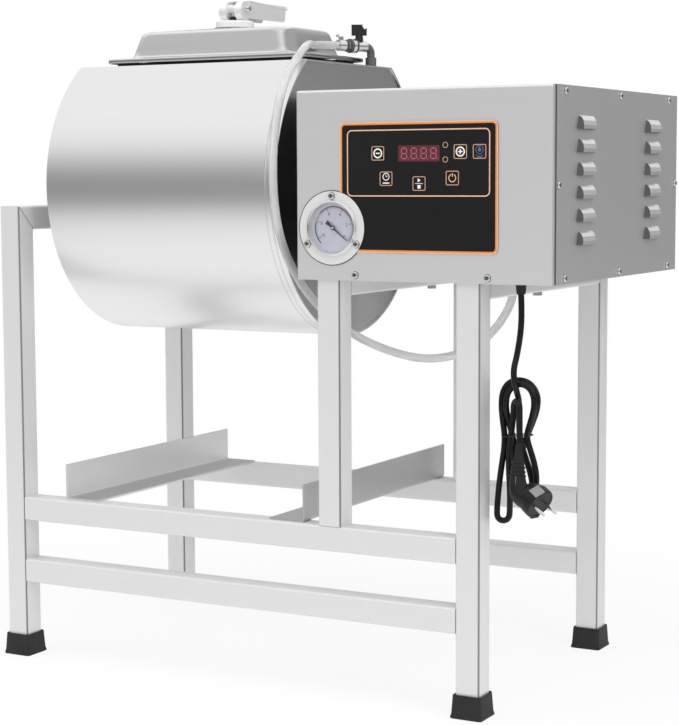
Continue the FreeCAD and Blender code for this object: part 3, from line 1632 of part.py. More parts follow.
def rounded_wire(left, right, front, rear, z, radius):
    """A level rectangle with round corners."""
    spots = [(right - radius, rear - radius), (left + radius, rear - radius),
             (left + radius, front + radius), (right - radius, front + radius)]
    arcs = []
    for quarter, (x, y) in enumerate(spots):
        circle = Part.Circle(FreeCAD.Vector(x, y, z), FreeCAD.Vector(0, 0, 1), radius)
        arcs.append(Part.ArcOfCircle(circle, quarter * math.pi / 2, (quarter + 1) * math.pi / 2))
    edges = []
    for arc, following in zip(arcs, arcs[1:] + arcs[:1]):
        edges.append(arc.toShape())
        edges.append(Part.LineSegment(arc.EndPoint, following.StartPoint).toShape())
    return Part.Wire(edges)


def make_mains_plug():
    """An angled round plug: the pin face, the tapering body, the cord grip and two pins."""
    way = FreeCAD.Vector(*PLUG_WAY)
    way.normalize()
    face = below_exit(PLUG_FACE)
    grip_base = below_exit(GRIP_BASE)
    radius = float(size.plug_radius)
    back = face - way * float(size.plug_depth)
    disc = Part.makeCylinder(radius, size.plug_depth, back, way)
    grip_way = below_exit(GRIP_TOP) - grip_base
    lower = Part.Wire(Part.Circle(grip_base, grip_way, float(size.grip_radius)).toShape())
    upper = Part.Wire(Part.Circle(back, way * -1, radius * 0.8).toShape())
    shoulder = Part.makeLoft([lower, upper], True, True)
    grip = Part.makeCone(size.grip_radius, size.cord_neck_radius, grip_way.Length, grip_base, grip_way)
    across = way.cross(FreeCAD.Vector(0, 0, 1))
    across.normalize()
    pins = []
    for side in (-1, 1):
        foot = face - way + across * (side * size.plug_pin_pitch / 2)
        pins.append(Part.makeCylinder(size.plug_pin_radius, size.plug_pin_length + 1, foot, way))
    plug = disc.fuse([shoulder, grip] + pins)
    raw_piece("mains_plug", plug.removeSplitter())


make_legs()
make_left_top_rail()
make_long_rails()
make_box_rails()
make_feet()
make_tray_bracket("left_tray_bracket", left_bracket_x, 1)
make_tray_bracket("right_tray_bracket", right_bracket_x, -1)
make_frame_bolts()
make_box_casing()
make_box_floor()
make_side_cover()
make_panel_screws()
make_control_overlay()
make_control_board()
make_gauge_case()
make_gauge_inside()
make_gauge_needle()
make_gauge_screws()
make_drum_shell()
make_drum_end("drum_left_end", drum_left + size.drum_lip, -1)
make_drum_end("drum_right_end", drum_right - size.drum_lip, 1)
make_drum_neck()
make_mixing_paddles()
make_shafts()
make_pillow_block()
make_flange_bearing()
make_bearing_inserts()
make_gear_motor()
make_motor_bracket()
make_vacuum_pump()
make_hose_fitting()
make_lid_gasket()
make_lid_pan()
make_clamp_disc()
make_clamp_bar()
make_cam_pin()
make_cam_lever()
make_valve_elbow()
make_valve_body()
make_valve_handle()
make_hose_clamp()
make_hose()
make_cord_bushing()
make_cord()
make_cord_hank()
make_mains_plug()
doc.recompute()

for item in doc.Objects:
    if "Invalid" in item.State or "Error" in item.State:
        raise RuntimeError(f"{item.Name} of {[p.Label for p in item.InList]} is {item.State}")
for name, item in nodes.items():
    if item.Shape.isNull() or not item.Shape.isValid() or not item.Shape.Solids:
        raise RuntimeError(f"{name} has no valid solid")

os.makedirs("parts", exist_ok=True)
for name, item in nodes.items():
    item.Shape.exportStep(f"parts/{name}.step")
print(len(nodes), "pieces written")
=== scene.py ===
# %% [markdown]
# A vacuum meat mixer stands on a frame of square tube: a stainless drum with a clamped lid, and a control
# box beside it. The solids are already packed, one object for each piece, and each rides on the body that it
# moves with. This file gives them their finishes and adds the small things that solids leave out: print,
# screw slots, knurls, the hose and the folded mains cord.

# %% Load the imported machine
import math
from contextlib import contextmanager

import bpy
from mathutils import Matrix, Vector


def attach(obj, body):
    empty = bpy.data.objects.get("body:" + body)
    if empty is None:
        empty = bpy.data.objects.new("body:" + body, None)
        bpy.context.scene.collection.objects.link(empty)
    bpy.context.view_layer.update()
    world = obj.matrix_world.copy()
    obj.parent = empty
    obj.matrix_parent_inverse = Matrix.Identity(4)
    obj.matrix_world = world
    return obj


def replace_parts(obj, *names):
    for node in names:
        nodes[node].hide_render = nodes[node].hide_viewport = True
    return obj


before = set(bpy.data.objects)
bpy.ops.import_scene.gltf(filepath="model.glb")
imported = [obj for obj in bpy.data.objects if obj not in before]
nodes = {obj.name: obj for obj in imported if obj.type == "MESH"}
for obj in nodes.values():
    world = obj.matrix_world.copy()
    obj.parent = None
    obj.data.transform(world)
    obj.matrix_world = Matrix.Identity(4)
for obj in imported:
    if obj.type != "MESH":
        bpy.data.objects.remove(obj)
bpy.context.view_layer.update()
print("pieces loaded", len(nodes))

# %% [markdown]
# The solids were drawn in millimetres from the outer corner of the front left leg. The machine's own middle
# lies at MIDDLE from there, so one helper turns drawing measures into the metres that this scene uses.

# %% Drawing measures to scene metres
MIDDLE = (379.75, 196.6)


def spot(x, y, z):
    """A place measured in millimetres from the front left leg, as scene metres."""
    return Vector(((x - MIDDLE[0]) / 1000, (y - MIDDLE[1]) / 1000, z / 1000))


print("middle of the machine in the drawing", MIDDLE)

# %% [markdown]
# The camera stands to the right of the machine, a little below the box's top, and looks slightly down. It is
# far away with a long lens, so that the legs stay nearly parallel. A lens is set from the picture's height
# here, because the picture is taller than it is wide.

# %% Camera
CAMERA_SPOT = spot(1540, -1915.4, 615.3)
TURN, TILT, ROLL = (math.radians(angle) for angle in (28.72, 5.63, -0.26))
camera_data = bpy.data.cameras.new("camera")
camera_data.sensor_fit = "VERTICAL"
camera_data.sensor_height = 36
camera_data.lens = 94.4
camera_data.clip_end = 50
camera = bpy.data.objects.new("camera", camera_data)
bpy.context.collection.objects.link(camera)
camera.matrix_world = (Matrix.Translation(CAMERA_SPOT) @ Matrix.Rotation(TURN, 4, "Z")
                       @ Matrix.Rotation(math.pi / 2 - TILT, 4, "X") @ Matrix.Rotation(ROLL, 4, "Z"))
bpy.context.scene.camera = camera
print("camera stands", [round(value, 3) for value in CAMERA_SPOT])

# %% [markdown]
# Each finish is a small tree of nodes. Helpers keep the trees readable: they add a node, set its values,
# join sockets, start a material with its Principled shader and the object's own coordinates, and make or
# place a node group. A grey is given by one number and another colour by three.

# %% Helpers for materials


def add_node(tree, kind, **settings):
    """A node of a kind, with its settings."""
    node = tree.nodes.new(kind)
    for name, value in settings.items():
        setattr(node, name, value)
    return node


def set_inputs(node, **values):
    """Give a node's inputs their values; an underscore in a name stands for a space."""
    for name, value in values.items():
        node.inputs[name.replace("_", " ")].default_value = value
    return node


def connect(tree, *pairs):
    """Join pairs of sockets, each from an output to an input."""
    for source, target in pairs:
        tree.links.new(source, target)


def colour_of(value):
    """A full colour from one grey number or from three numbers."""
    return (value, value, value, 1) if isinstance(value, (int, float)) else (*value, 1)


def new_finish(name, **shader_values):
    """A material with a Principled shader and Object coordinates; returns the parts that a finish adds to."""
    material = bpy.data.materials.new(name)
    material.use_nodes = True
    tree = material.node_tree
    shader = tree.nodes["Principled BSDF"]
    set_inputs(shader, **shader_values)
    place = add_node(tree, "ShaderNodeTexCoord").outputs["Object"]
    return material, tree, shader, place


def new_group(name, inputs, outputs):
    """A node group with named sockets; returns it, what it is given and what it puts out."""
    group = bpy.data.node_groups.new(name, "ShaderNodeTree")
    for way, sockets in (("INPUT", inputs), ("OUTPUT", outputs)):
        for label, kind in sockets.items():
            group.interface.new_socket(name=label, in_out=way, socket_type="NodeSocket" + kind)
    return group, add_node(group, "NodeGroupInput").outputs, add_node(group, "NodeGroupOutput").inputs


def place_group(tree, group, **values):
    """A node group in a material, with the material's own values."""
    return set_inputs(add_node(tree, "ShaderNodeGroup", node_tree=group), **values)


# %% [markdown]
# Satin steel shows fine lines along the way it was ground. A noise that is stretched far along one axis
# gives such lines. Many pieces need it, each with its own direction, so it is a node group with named
# inputs.

# %% Grain group
grain_group, given, out = new_group(
    "steel_grain", dict(Place="Vector", Stretch="Vector", Light="Color", Dark="Color", Smooth="Float",
                        Rough="Float", Depth="Float"), dict(Color="Color", Roughness="Float", Normal="Vector"))
stretched = add_node(grain_group, "ShaderNodeVectorMath", operation="MULTIPLY")
lines = set_inputs(add_node(grain_group, "ShaderNodeTexNoise"), Scale=1, Detail=3, Roughness=0.6)
cloud = set_inputs(add_node(grain_group, "ShaderNodeTexNoise"), Scale=9, Detail=2, Roughness=0.5)
both = set_inputs(add_node(grain_group, "ShaderNodeMix", data_type="FLOAT"), Factor=0.3)
tone = add_node(grain_group, "ShaderNodeMix", data_type="RGBA")
polish = add_node(grain_group, "ShaderNodeMix", data_type="FLOAT")
bump = set_inputs(add_node(grain_group, "ShaderNodeBump"), Strength=0.2)
connect(grain_group, (given["Place"], stretched.inputs[0]), (given["Stretch"], stretched.inputs[1]),
        (stretched.outputs["Vector"], lines.inputs["Vector"]), (given["Place"], cloud.inputs["Vector"]),
        (lines.outputs["Fac"], both.inputs["A"]), (cloud.outputs["Fac"], both.inputs["B"]),
        (both.outputs["Result"], tone.inputs["Factor"]), (given["Light"], tone.inputs["A"]),
        (given["Dark"], tone.inputs["B"]), (both.outputs["Result"], polish.inputs["Factor"]),
        (given["Smooth"], polish.inputs["A"]), (given["Rough"], polish.inputs["B"]),
        (lines.outputs["Fac"], bump.inputs["Height"]), (given["Depth"], bump.inputs["Distance"]),
        (tone.outputs["Result"], out["Color"]), (polish.outputs["Result"], out["Roughness"]),
        (bump.outputs["Normal"], out["Normal"]))
print("grain group has", len(grain_group.nodes), "nodes")

# %% [markdown]
# The steels differ in tone, polish and the way of their grain: tubes are dull, drum and lid are brighter,
# and castings are painted. Each could have its own tree, but one helper with numbers keeps them alike. The
# tubes get a finish for each way they run.

# %% Steel finishes


def steel_finish(name, stretch, light, dark, smooth, rough, depth=0.00001, metallic=1):
    """A brushed metal whose grain runs along the axis with the smallest stretch."""
    material, tree, shader, place = new_finish(name, Metallic=metallic)
    grain = place_group(tree, grain_group, Stretch=stretch, Light=colour_of(light), Dark=colour_of(dark),
                        Smooth=smooth, Rough=rough, Depth=depth)
    connect(tree, (place, grain.inputs["Place"]), (grain.outputs["Color"], shader.inputs["Base Color"]),
            (grain.outputs["Roughness"], shader.inputs["Roughness"]),
            (grain.outputs["Normal"], shader.inputs["Normal"]))
    return material


tube_up, tube_along_x, tube_along_y = [
    steel_finish("tube_grain_" + way, stretch, 0.81, 0.77, 0.48, 0.58, metallic=0.48)
    for way, stretch in (("upright", (700, 700, 6)), ("along_x", (6, 700, 700)), ("along_y", (700, 6, 700)))]
# Both tray brackets are one steel; the right one is painted darker, as painted shade.
left_bracket_steel, right_bracket_steel = [
    steel_finish(side + "_bracket_steel", (500, 5, 500), light, dark, 0.36, 0.44, metallic=0.85)
    for side, light, dark in (("left", 0.86, 0.78), ("right", 0.58, 0.50))]
box_steel = steel_finish("box_satin_steel", (5, 600, 600), 0.87, 0.82, 0.42, 0.50, metallic=0.80)
cover_steel = steel_finish("cover_satin_steel", (600, 5, 600), 0.78, 0.74, 0.40, 0.48, metallic=0.92)
drum_steel = steel_finish("drum_bright_steel", (6, 400, 400), 0.88, 0.84, 0.28, 0.33, 0.000004)
end_steel = steel_finish("end_plate_steel", (400, 400, 8), 0.70, 0.64, 0.22, 0.30)
lid_steel = steel_finish("lid_drawn_steel", (10, 400, 400), 0.86, 0.80, 0.14, 0.20, 0.000006)
clamp_steel = steel_finish("clamp_cast_steel", (60, 60, 60), 0.92, 0.84, 0.34, 0.46, 0.00002, 0.50)
clip_steel = steel_finish("earth_clip_steel", (200, 200, 200), 0.50, 0.42, 0.24, 0.32)
plated_steel = steel_finish("plated_steel", (180, 180, 180), (0.84, 0.84, 0.85), (0.74, 0.74, 0.75), 0.14, 0.24,
                            0.00002)
gauge_steel = steel_finish("gauge_satin_steel", (160, 160, 160), (0.92, 0.92, 0.91), (0.87, 0.87, 0.86),
                           0.46, 0.54, 0.000005, 0.55)
bezel_steel = steel_finish("gauge_polished_steel", (160, 160, 160), (0.90, 0.90, 0.91), (0.84, 0.84, 0.85),
                           0.12, 0.18, 0.000005)
cast_housing = steel_finish("cast_housing_paint", (300, 300, 300), (0.30, 0.32, 0.33), (0.20, 0.21, 0.22), 0.42,
                            0.62, 0.0003, 0.2)
motor_paint = steel_finish("motor_paint", (260, 260, 260), (0.13, 0.14, 0.15), (0.09, 0.10, 0.11), 0.36, 0.52,
                           0.0002, 0.1)
print("steel finishes ready")

# %% [markdown]
# The faces of one sheet differ in tone, because each mirrors another part of the room: the louvres are pale on
# top and black in their mouths, and the upright tubes have a thin dark line down their front right and rear
# left corners. More lamps would change every other piece too, so this is painted into the colour by the way
# that a face looks, in the object's own directions: a painted highlight on the cover's upward faces, and
# painted shade on its faces turned to the front, in the louvres' mouths, on the left tray bracket's top, on the
# box's left wall beside the drum, on the lid's front and right faces and down the tubes' corners. The drum
# mirrors the tray brackets as pale as the bright floor round them, a painted reflection.

# %% Painted shade and highlights by the way a face looks
facing_shade, given, out = new_group(
    "facing_shade", dict(Color="Color", Normal="Vector", Way="Vector", Low="Float", High="Float", Most="Float",
                         Shade="Color"), dict(Color="Color"))
toward = add_node(facing_shade, "ShaderNodeVectorMath", operation="DOT_PRODUCT")
amount = add_node(facing_shade, "ShaderNodeMapRange")
tint = add_node(facing_shade, "ShaderNodeMix", data_type="RGBA")
connect(facing_shade, (given["Normal"], toward.inputs[0]), (given["Way"], toward.inputs[1]),
        (toward.outputs["Value"], amount.inputs["Value"]), (given["Low"], amount.inputs["From Min"]),
        (given["High"], amount.inputs["From Max"]), (given["Most"], amount.inputs["To Max"]),
        (given["Color"], tint.inputs["A"]), (given["Shade"], tint.inputs["B"]),
        (amount.outputs["Result"], tint.inputs["Factor"]), (tint.outputs["Result"], out["Color"]))


def shade_facing(material, way, low, high, shade, most=1):
    """Paint shade into the faces that look one way, from where their normal's share of it passes low to high; a
    light shade paints a highlight.
    """
    tree = material.node_tree
    base = tree.nodes["Principled BSDF"].inputs["Base Color"]
    shaded = place_group(tree, facing_shade, Way=way, Low=low, High=high, Most=most, Shade=colour_of(shade))
    connect(tree, (add_node(tree, "ShaderNodeTexCoord").outputs["Normal"], shaded.inputs["Normal"]),
            (base.links[0].from_socket, shaded.inputs["Color"]), (shaded.outputs["Color"], base))


def pale_in_mirrors(material):
    """Painted reflection: a piece turns white in mirrored rays, so the drum mirrors it as pale as the bright
    floor round it.
    """
    tree = material.node_tree
    base = tree.nodes["Principled BSDF"].inputs["Base Color"]
    pale = set_inputs(add_node(tree, "ShaderNodeMix", data_type="RGBA"), B=colour_of(1))
    connect(tree, (base.links[0].from_socket, pale.inputs["A"]), (pale.outputs["Result"], base),
            (add_node(tree, "ShaderNodeLightPath").outputs["Is Glossy Ray"], pale.inputs["Factor"]))


# Painted highlight on the cover's upward faces; painted shade on its faces turned to the front and in the
# louvres' downward mouths.
shade_facing(cover_steel, (0, 0, 1), 0.12, 0.45, 0.96)
shade_facing(cover_steel, (0, -1, 0), 0.30, 0.55, 0.13)
shade_facing(cover_steel, (0, 0, -1), 0.40, 0.80, 0.05)
# Painted shade on the left tray bracket's top faces.
shade_facing(left_bracket_steel, (0, 0, 1), 0.5, 0.8, 0.46)
# Painted shade on the box's left wall, in the narrow gap beside the drum.
shade_facing(box_steel, (-1, 0, 0), 0.50, 0.80, 0.08)
# Painted shade on the lid pan's front faces and on its right faces.
shade_facing(lid_steel, (0, -1, 0), 0.72, 0.90, 0.50)
shade_facing(lid_steel, (1, 0, 0), 0.50, 0.66, 0.36)
# Painted shade: a thin dark line down the upright tubes' front right and rear left corners.
for corner_way in ((0.7071, -0.7071, 0), (-0.7071, 0.7071, 0)):
    shade_facing(tube_up, corner_way, 0.883, 0.959, 0.06, most=0.75)
# Painted reflection: the drum mirrors both tray brackets as white.
pale_in_mirrors(left_bracket_steel)
pale_in_mirrors(right_bracket_steel)
print("faces shaded")

# %% [markdown]
# Rubber and moulded plastic are not metals: their colour is their own, their gloss is weak, and a fine noise
# in the bump gives the dull skin that a mould leaves. Rubber, plastic, film and ink all need it, so it is a
# group too.

# %% Moulded skin group
moulded_skin, given, out = new_group(
    "moulded_skin", dict(Place="Vector", New="Color", Worn="Color", Grain="Float", Depth="Float"),
    dict(Color="Color", Normal="Vector"))
coarser = add_node(moulded_skin, "ShaderNodeMath", operation="DIVIDE")
coarser.inputs[1].default_value = 24
fine = set_inputs(add_node(moulded_skin, "ShaderNodeTexNoise"), Detail=4)
broad = set_inputs(add_node(moulded_skin, "ShaderNodeTexNoise"), Detail=2)
skin_tone = add_node(moulded_skin, "ShaderNodeMix", data_type="RGBA")
skin_bump = set_inputs(add_node(moulded_skin, "ShaderNodeBump"), Strength=0.35)
connect(moulded_skin, (given["Place"], fine.inputs["Vector"]), (given["Place"], broad.inputs["Vector"]),
        (given["Grain"], fine.inputs["Scale"]), (given["Grain"], coarser.inputs[0]),
        (coarser.outputs["Value"], broad.inputs["Scale"]), (broad.outputs["Fac"], skin_tone.inputs["Factor"]),
        (given["New"], skin_tone.inputs["A"]), (given["Worn"], skin_tone.inputs["B"]),
        (skin_tone.outputs["Result"], out["Color"]), (fine.outputs["Fac"], skin_bump.inputs["Height"]),
        (given["Depth"], skin_bump.inputs["Distance"]), (skin_bump.outputs["Normal"], out["Normal"]))
print("moulded skin group has", len(moulded_skin.nodes), "nodes")

# %% [markdown]
# Each rubber or plastic piece is that same skin with its own two tones, roughness and grain. The numbers could
# be typed into each material by hand, but one helper keeps the finishes alike.

# %% Rubber and plastic finishes


def moulded_finish(name, colour, worn, roughness, grain, depth=0.0001):
    """A moulded skin: its colour shifts slightly between two tones and its surface is finely grained."""
    material, tree, shader, place = new_finish(name, Roughness=roughness, Specular_IOR_Level=0.3)
    skin = place_group(tree, moulded_skin, New=colour_of(colour), Worn=colour_of(worn), Grain=grain,
                       Depth=depth)
    connect(tree, (place, skin.inputs["Place"]), (skin.outputs["Color"], shader.inputs["Base Color"]),
            (skin.outputs["Normal"], shader.inputs["Normal"]))
    return material


foot_rubber = moulded_finish("foot_rubber", (0.012, 0.012, 0.013), (0.028, 0.028, 0.029), 0.55, 900, 0.0002)
gasket_rubber = moulded_finish("gasket_rubber", 0.010, 0.022, 0.60, 800, 0.0002)
cord_rubber = moulded_finish("cord_rubber", 0.004, 0.009, 0.34, 1400)
plug_rubber = moulded_finish("plug_rubber", 0.005, 0.011, 0.38, 1100)
wire_rubber = moulded_finish("tie_wire_skin", (0.014, 0.014, 0.015), 0.03, 0.35, 900, 0.00005)
slot_dark = moulded_finish("screw_slot_shadow", 0.006, 0.012, 0.6, 900, 0.00002)
valve_plastic = moulded_finish("valve_dark_plastic", (0.085, 0.087, 0.09), (0.125, 0.127, 0.13), 0.42, 700)
handle_plastic = moulded_finish("valve_handle_plastic", (0.014, 0.014, 0.015), (0.03, 0.03, 0.031), 0.40, 700)
disc_plastic = moulded_finish("clamp_disc_plastic", (0.78, 0.78, 0.77), (0.85, 0.85, 0.84), 0.40, 500)
dial_white = moulded_finish("gauge_dial_face", (0.70, 0.70, 0.80), (0.78, 0.78, 0.86), 0.45, 300, 0.00001)
board_resin = moulded_finish("board_resin", (0.02, 0.14, 0.05), (0.03, 0.20, 0.07), 0.40, 260)
film_black = moulded_finish("panel_film", (0.009, 0.009, 0.010), (0.013, 0.012, 0.012), 0.24, 120, 0.00001)
print("rubber and plastic finishes ready")

# %% [markdown]
# The hose is soft clear plastic. Its wall is cloudy, so light spreads inside it and the middle looks pale
# while the edges are darker. A Principled shader with a strong transmission and a little roughness does
# this. The gauge's window is glass, made the same way with more transmission.

# %% Hose and glass finishes


def clear_finish(name, light, dark, scale, **shader_values):
    """A clear material whose colour drifts between two pale tones."""
    material, tree, shader, place = new_finish(name, **shader_values)
    noise = set_inputs(add_node(tree, "ShaderNodeTexNoise"), Scale=scale, Detail=2)
    drift = add_node(tree, "ShaderNodeMix", data_type="RGBA")
    set_inputs(drift, A=colour_of(light), B=colour_of(dark))
    connect(tree, (place, noise.inputs["Vector"]), (noise.outputs["Fac"], drift.inputs["Factor"]),
            (drift.outputs["Result"], shader.inputs["Base Color"]))
    return material


hose_clear = clear_finish("hose_clear_plastic", 0.76, 0.84, 60, Roughness=0.10, IOR=1.30,
                          Transmission_Weight=0.50)
glass_clear = clear_finish("gauge_window_glass", (0.985, 0.99, 1), (0.97, 0.98, 0.99), 30, Roughness=0.02,
                           IOR=1.45, Transmission_Weight=1)
print("clear finishes ready")

# %% [markdown]
# The solids carry one plain material each. Every one gets its own finish here, hidden pieces too, because a
# turned drum or a look from behind can bring them into view.

# %% Give every solid its finish
finishes = {
    tube_up: ["front_left_leg", "rear_left_leg", "front_middle_post", "rear_middle_post", "front_right_leg",
              "rear_right_leg"],
    tube_along_x: ["front_upper_rail", "rear_upper_rail", "front_lower_rail", "rear_lower_rail"],
    tube_along_y: ["left_top_rail", "middle_box_rail", "right_box_rail", "motor_bracket"],
    left_bracket_steel: ["left_tray_bracket"],
    right_bracket_steel: ["right_tray_bracket"],
    box_steel: ["box_casing", "box_floor"],
    cover_steel: ["side_cover"],
    drum_steel: ["drum_shell", "drum_neck", "mixing_paddles", "clamp_bar", "left_stub_shaft", "drive_shaft"],
    end_steel: ["drum_left_end", "drum_right_end"],
    lid_steel: ["lid_pan"],
    clamp_steel: ["cam_lever", "cam_pin"],
    plated_steel: ["frame_bolts", "panel_screws", "gauge_screws", "hose_clamp", "valve_body", "bearing_inserts",
                   "hose_fitting"],
    gauge_steel: ["gauge_case"],
    cast_housing: ["pillow_block", "flange_bearing"],
    motor_paint: ["gear_motor", "vacuum_pump"],
    foot_rubber: ["front_left_foot", "rear_left_foot", "front_right_foot", "rear_right_foot", "cord_bushing"],
    gasket_rubber: ["lid_gasket"],
    valve_plastic: ["valve_elbow"],
    handle_plastic: ["valve_handle", "gauge_needle"],
    disc_plastic: ["clamp_disc", "gauge_dial"],
    board_resin: ["control_board"],
    film_black: ["control_overlay"],
    glass_clear: ["gauge_glass"],
    cord_rubber: ["mains_cord", "cord_hank"],
    plug_rubber: ["mains_plug"],
    hose_clear: ["vacuum_hose"],
}
for finish, members in finishes.items():
    for member in members:
        data = nodes[member].data
        data.materials.clear()
        data.materials.append(finish)
finished = {member for members in finishes.values() for member in members}
print("solids without a finish", sorted(set(nodes) - finished))

# %% [markdown]
# A hose or cord is one smooth curve with a round section. Blender's NURBS spline of order three runs near
# its control points without kinks, like something flexible does. The order and the end points are set after
# the points are in place, because Blender works them out from the number of points. A share of the radius at
# each point lets the same curve swell, which forms such as the plug's body need later.

# %% Helper for round curves


def round_curve(name, points, radius, rings, steps):
    """A curve with a round section along (x, y, z, share of the radius) points, in millimetres."""
    data = bpy.data.curves.new(name, "CURVE")
    data.dimensions = "3D"
    data.bevel_depth = radius / 1000
    data.bevel_resolution = rings
    data.use_fill_caps = True
    data.resolution_u = steps
    spline = data.splines.new("NURBS")
    spline.points.add(len(points) - 1)
    for control, (x, y, z, share) in zip(spline.points, points):
        control.co = (*spot(x, y, z), 1)
        control.radius = share
    spline.order_u = 3
    spline.use_endpoint_u = True
    curve = bpy.data.objects.new(name, data)
    bpy.context.collection.objects.link(curve)
    return curve


# %% [markdown]
# The hose leaves the valve's barb at the rear of the lid, falls over the front of the drum's right-hand end,
# hangs below the box and comes up to a fitting in its floor. It is about 0.82 m long and 10 mm across.

# %% Vacuum hose
HOSE_DIAMETER = 10
hose_route = [
    (366.816, 218.928, 779), (360.5, 204.6, 778.8), (361.5, 185, 777.8), (367.5, 160, 776),
    (377, 134, 775.8), (386, 107, 770), (392.5, 82, 759), (397, 58, 746), (400, 38, 731.5), (402, 22, 711),
    (402.5, 10, 684), (401, 4, 645), (402, 2, 590), (405, 12, 540), (413, 32, 498), (430, 56, 460),
    (458, 83, 427), (494, 113, 404), (534, 146, 391), (569.3, 181.7, 400), (591.5, 204.3, 422),
    (605.9, 218.8, 448.7), (612, 225, 474.4), (612, 225, 494),
]
hose = round_curve("clear_hose_tube", [(*point, 1) for point in hose_route], HOSE_DIAMETER / 2, 5, 12)
hose.data.materials.append(hose_clear)
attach(hose, "frame")
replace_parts(hose, "vacuum_hose")
print("hose has", len(hose_route), "control points")

# %% [markdown]
# The mains cord comes out of a strain relief under the box and is folded into a hank that a thin tie holds
# at its waist. The real cord makes two upper loops, one narrow lower loop and two folds behind the plug,
# before a last short fold turns it down into the plug. All that is one curve: each strand has its own depth,
# so that strands pass before or behind each other and never through.

# %% Mains cord with its hank
CORD_DIAMETER = 7
down_from_box = [(700, 40, 482), (700.8, 40, 466), (700.2, 40, 441), (696.2, 38, 413)]
into_the_hank = [
    (695, 31.5, 399), (696.6, 29, 386.5), (697.8, 34, 373.5), (697.2, 42.5, 362), (695.9, 45.5, 343),
    (696.6, 45, 321.7), (701, 45, 306.1), (707.8, 45, 288.3), (711.9, 47, 271.3), (710.2, 50, 258),
    (706.8, 51.5, 249), (700.2, 52, 245.6), (693.4, 52, 249.5), (690, 52, 258.5), (688.3, 52, 272.3),
    (688.2, 52, 292.9), (688.4, 50, 309.2),
]
inner_upper_loop = [
    (688, 45, 323.5), (684.8, 41, 338.5), (682.8, 38, 354.7), (684.2, 38, 369.5), (691.4, 38, 379),
    (701.1, 38, 382), (711.2, 38, 378.5), (717.2, 38, 368.3), (717.4, 38, 354.3), (713.3, 37, 338.4),
    (708.8, 36, 323.6),
]
behind_the_plug = [
    (713.3, 36, 309.2), (718.4, 37, 293.6), (720.9, 38.5, 276.6), (718.1, 41, 262.4), (708.5, 44, 253),
    (698, 45, 255.5), (693.8, 45, 269.1), (694.3, 46.5, 284), (695, 51.5, 296.9), (698, 53, 308.3),
]
outer_upper_loop = [
    (704.4, 51, 323.7), (712.1, 47, 338.3), (718.3, 45, 353.6), (719.1, 45, 368.3), (711.5, 45, 380.9),
    (699.3, 45, 385.6), (685.9, 45, 383.6), (676.8, 45, 374), (674.6, 44, 359.2), (677.4, 41, 341.5),
    (681.7, 38, 323.9),
]
left_lower_loop = [
    (681.8, 37, 308.1), (678.8, 37, 289.7), (675.8, 37, 268.9), (674.2, 36, 248.2), (674.1, 34.6, 238),
    (674.3, 34.4, 229.4), (678.1, 35.9, 225.2), (683.5, 38.1, 225.2), (687.3, 39.6, 229.4),
    (687.6, 39.6, 239), (688.6, 38, 253), (688.1, 37, 272.1), (687.6, 36, 292.7), (689, 34, 310.1),
]
last_fold = [
    (692.2, 32, 325.5), (693.6, 33, 340), (694.4, 33.5, 350), (694.6, 33.4, 359.1), (697.6, 31.2, 362.8),
    (701.8, 28.2, 362.8), (704.8, 26, 359.1), (704.9, 26, 350), (705, 26, 340), (705.2, 25.6, 328),
    (705.5, 25, 316),
]
cord_route = (down_from_box + into_the_hank + inner_upper_loop + behind_the_plug + outer_upper_loop
              + left_lower_loop + last_fold)
mains_cord = round_curve("folded_mains_cord", [(*point, 1) for point in cord_route], CORD_DIAMETER / 2, 5, 6)
mains_cord.data.materials.append(cord_rubber)
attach(mains_cord, "frame")
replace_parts(mains_cord, "mains_cord", "cord_hank")
print("mains cord has", len(cord_route), "control points")

# %% [markdown]
# Small pieces are modelled as by hand: a primitive is added at its size and place, shaped in edit mode and
# finished with modifiers. An operator works on all that is selected, so everything is deselected first. A
# finished piece has its place in its mesh and sits at the origin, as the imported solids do. These few helpers
# hold the steps that every piece needs.

# %% Helpers for modelled pieces


def fresh(primitive, **settings):
    """A new primitive, added with nothing else selected."""
    bpy.ops.object.select_all(action="DESELECT")
    primitive(**settings)
    return bpy.context.object


def take(*pieces):
    """Select these objects alone and make the first one active."""
    bpy.ops.object.select_all(action="DESELECT")
    for piece in pieces:
        piece.select_set(True)
    bpy.context.view_layer.objects.active = pieces[0]


def join(pieces):
    """Join pieces to one that keeps the first one's place."""
    take(*pieces)
    if len(pieces) > 1:
        bpy.ops.object.join()
    return bpy.context.object


@contextmanager
def edit_mode(piece, everything=True):
    """Open a piece in edit mode, with all of it selected or only what was already, and close it again."""
    take(piece)
    bpy.ops.object.mode_set(mode="EDIT")
    if everything:
        bpy.ops.mesh.select_all(action="SELECT")
    yield
    bpy.ops.object.mode_set(mode="OBJECT")


def select_edges(piece, chosen):
    """Select only the edges whose two ends pass a test of their place."""
    with edit_mode(piece, everything=False):
        bpy.ops.mesh.select_all(action="DESELECT")
    for edge in piece.data.edges:
        edge.select = all(chosen(piece.data.vertices[index].co) for index in edge.vertices)


def modify(piece, kind, **settings):
    """Add a modifier with its settings and apply it."""
    modifier = piece.modifiers.new(kind, kind)
    for name, value in settings.items():
        setattr(modifier, name, value)
    take(piece)
    bpy.ops.object.modifier_apply(modifier=modifier.name)


def thicken(piece, depth, offset=-1):
    """Give a flat shape a depth in millimetres, behind its face or to both sides of it."""
    modify(piece, "SOLIDIFY", thickness=depth / 1000, offset=offset)


def cut_away(piece, tool):
    """Subtract a tool from a piece and remove the tool."""
    modify(piece, "BOOLEAN", object=tool, operation="DIFFERENCE", solver="EXACT")
    bpy.data.objects.remove(tool, do_unlink=True)


def sized(piece, width, depth, height=1):
    """Give a unit primitive its size in millimetres, in its mesh."""
    piece.scale = (width, depth, height)
    bpy.ops.object.transform_apply(location=False, rotation=False, scale=True)
    return piece


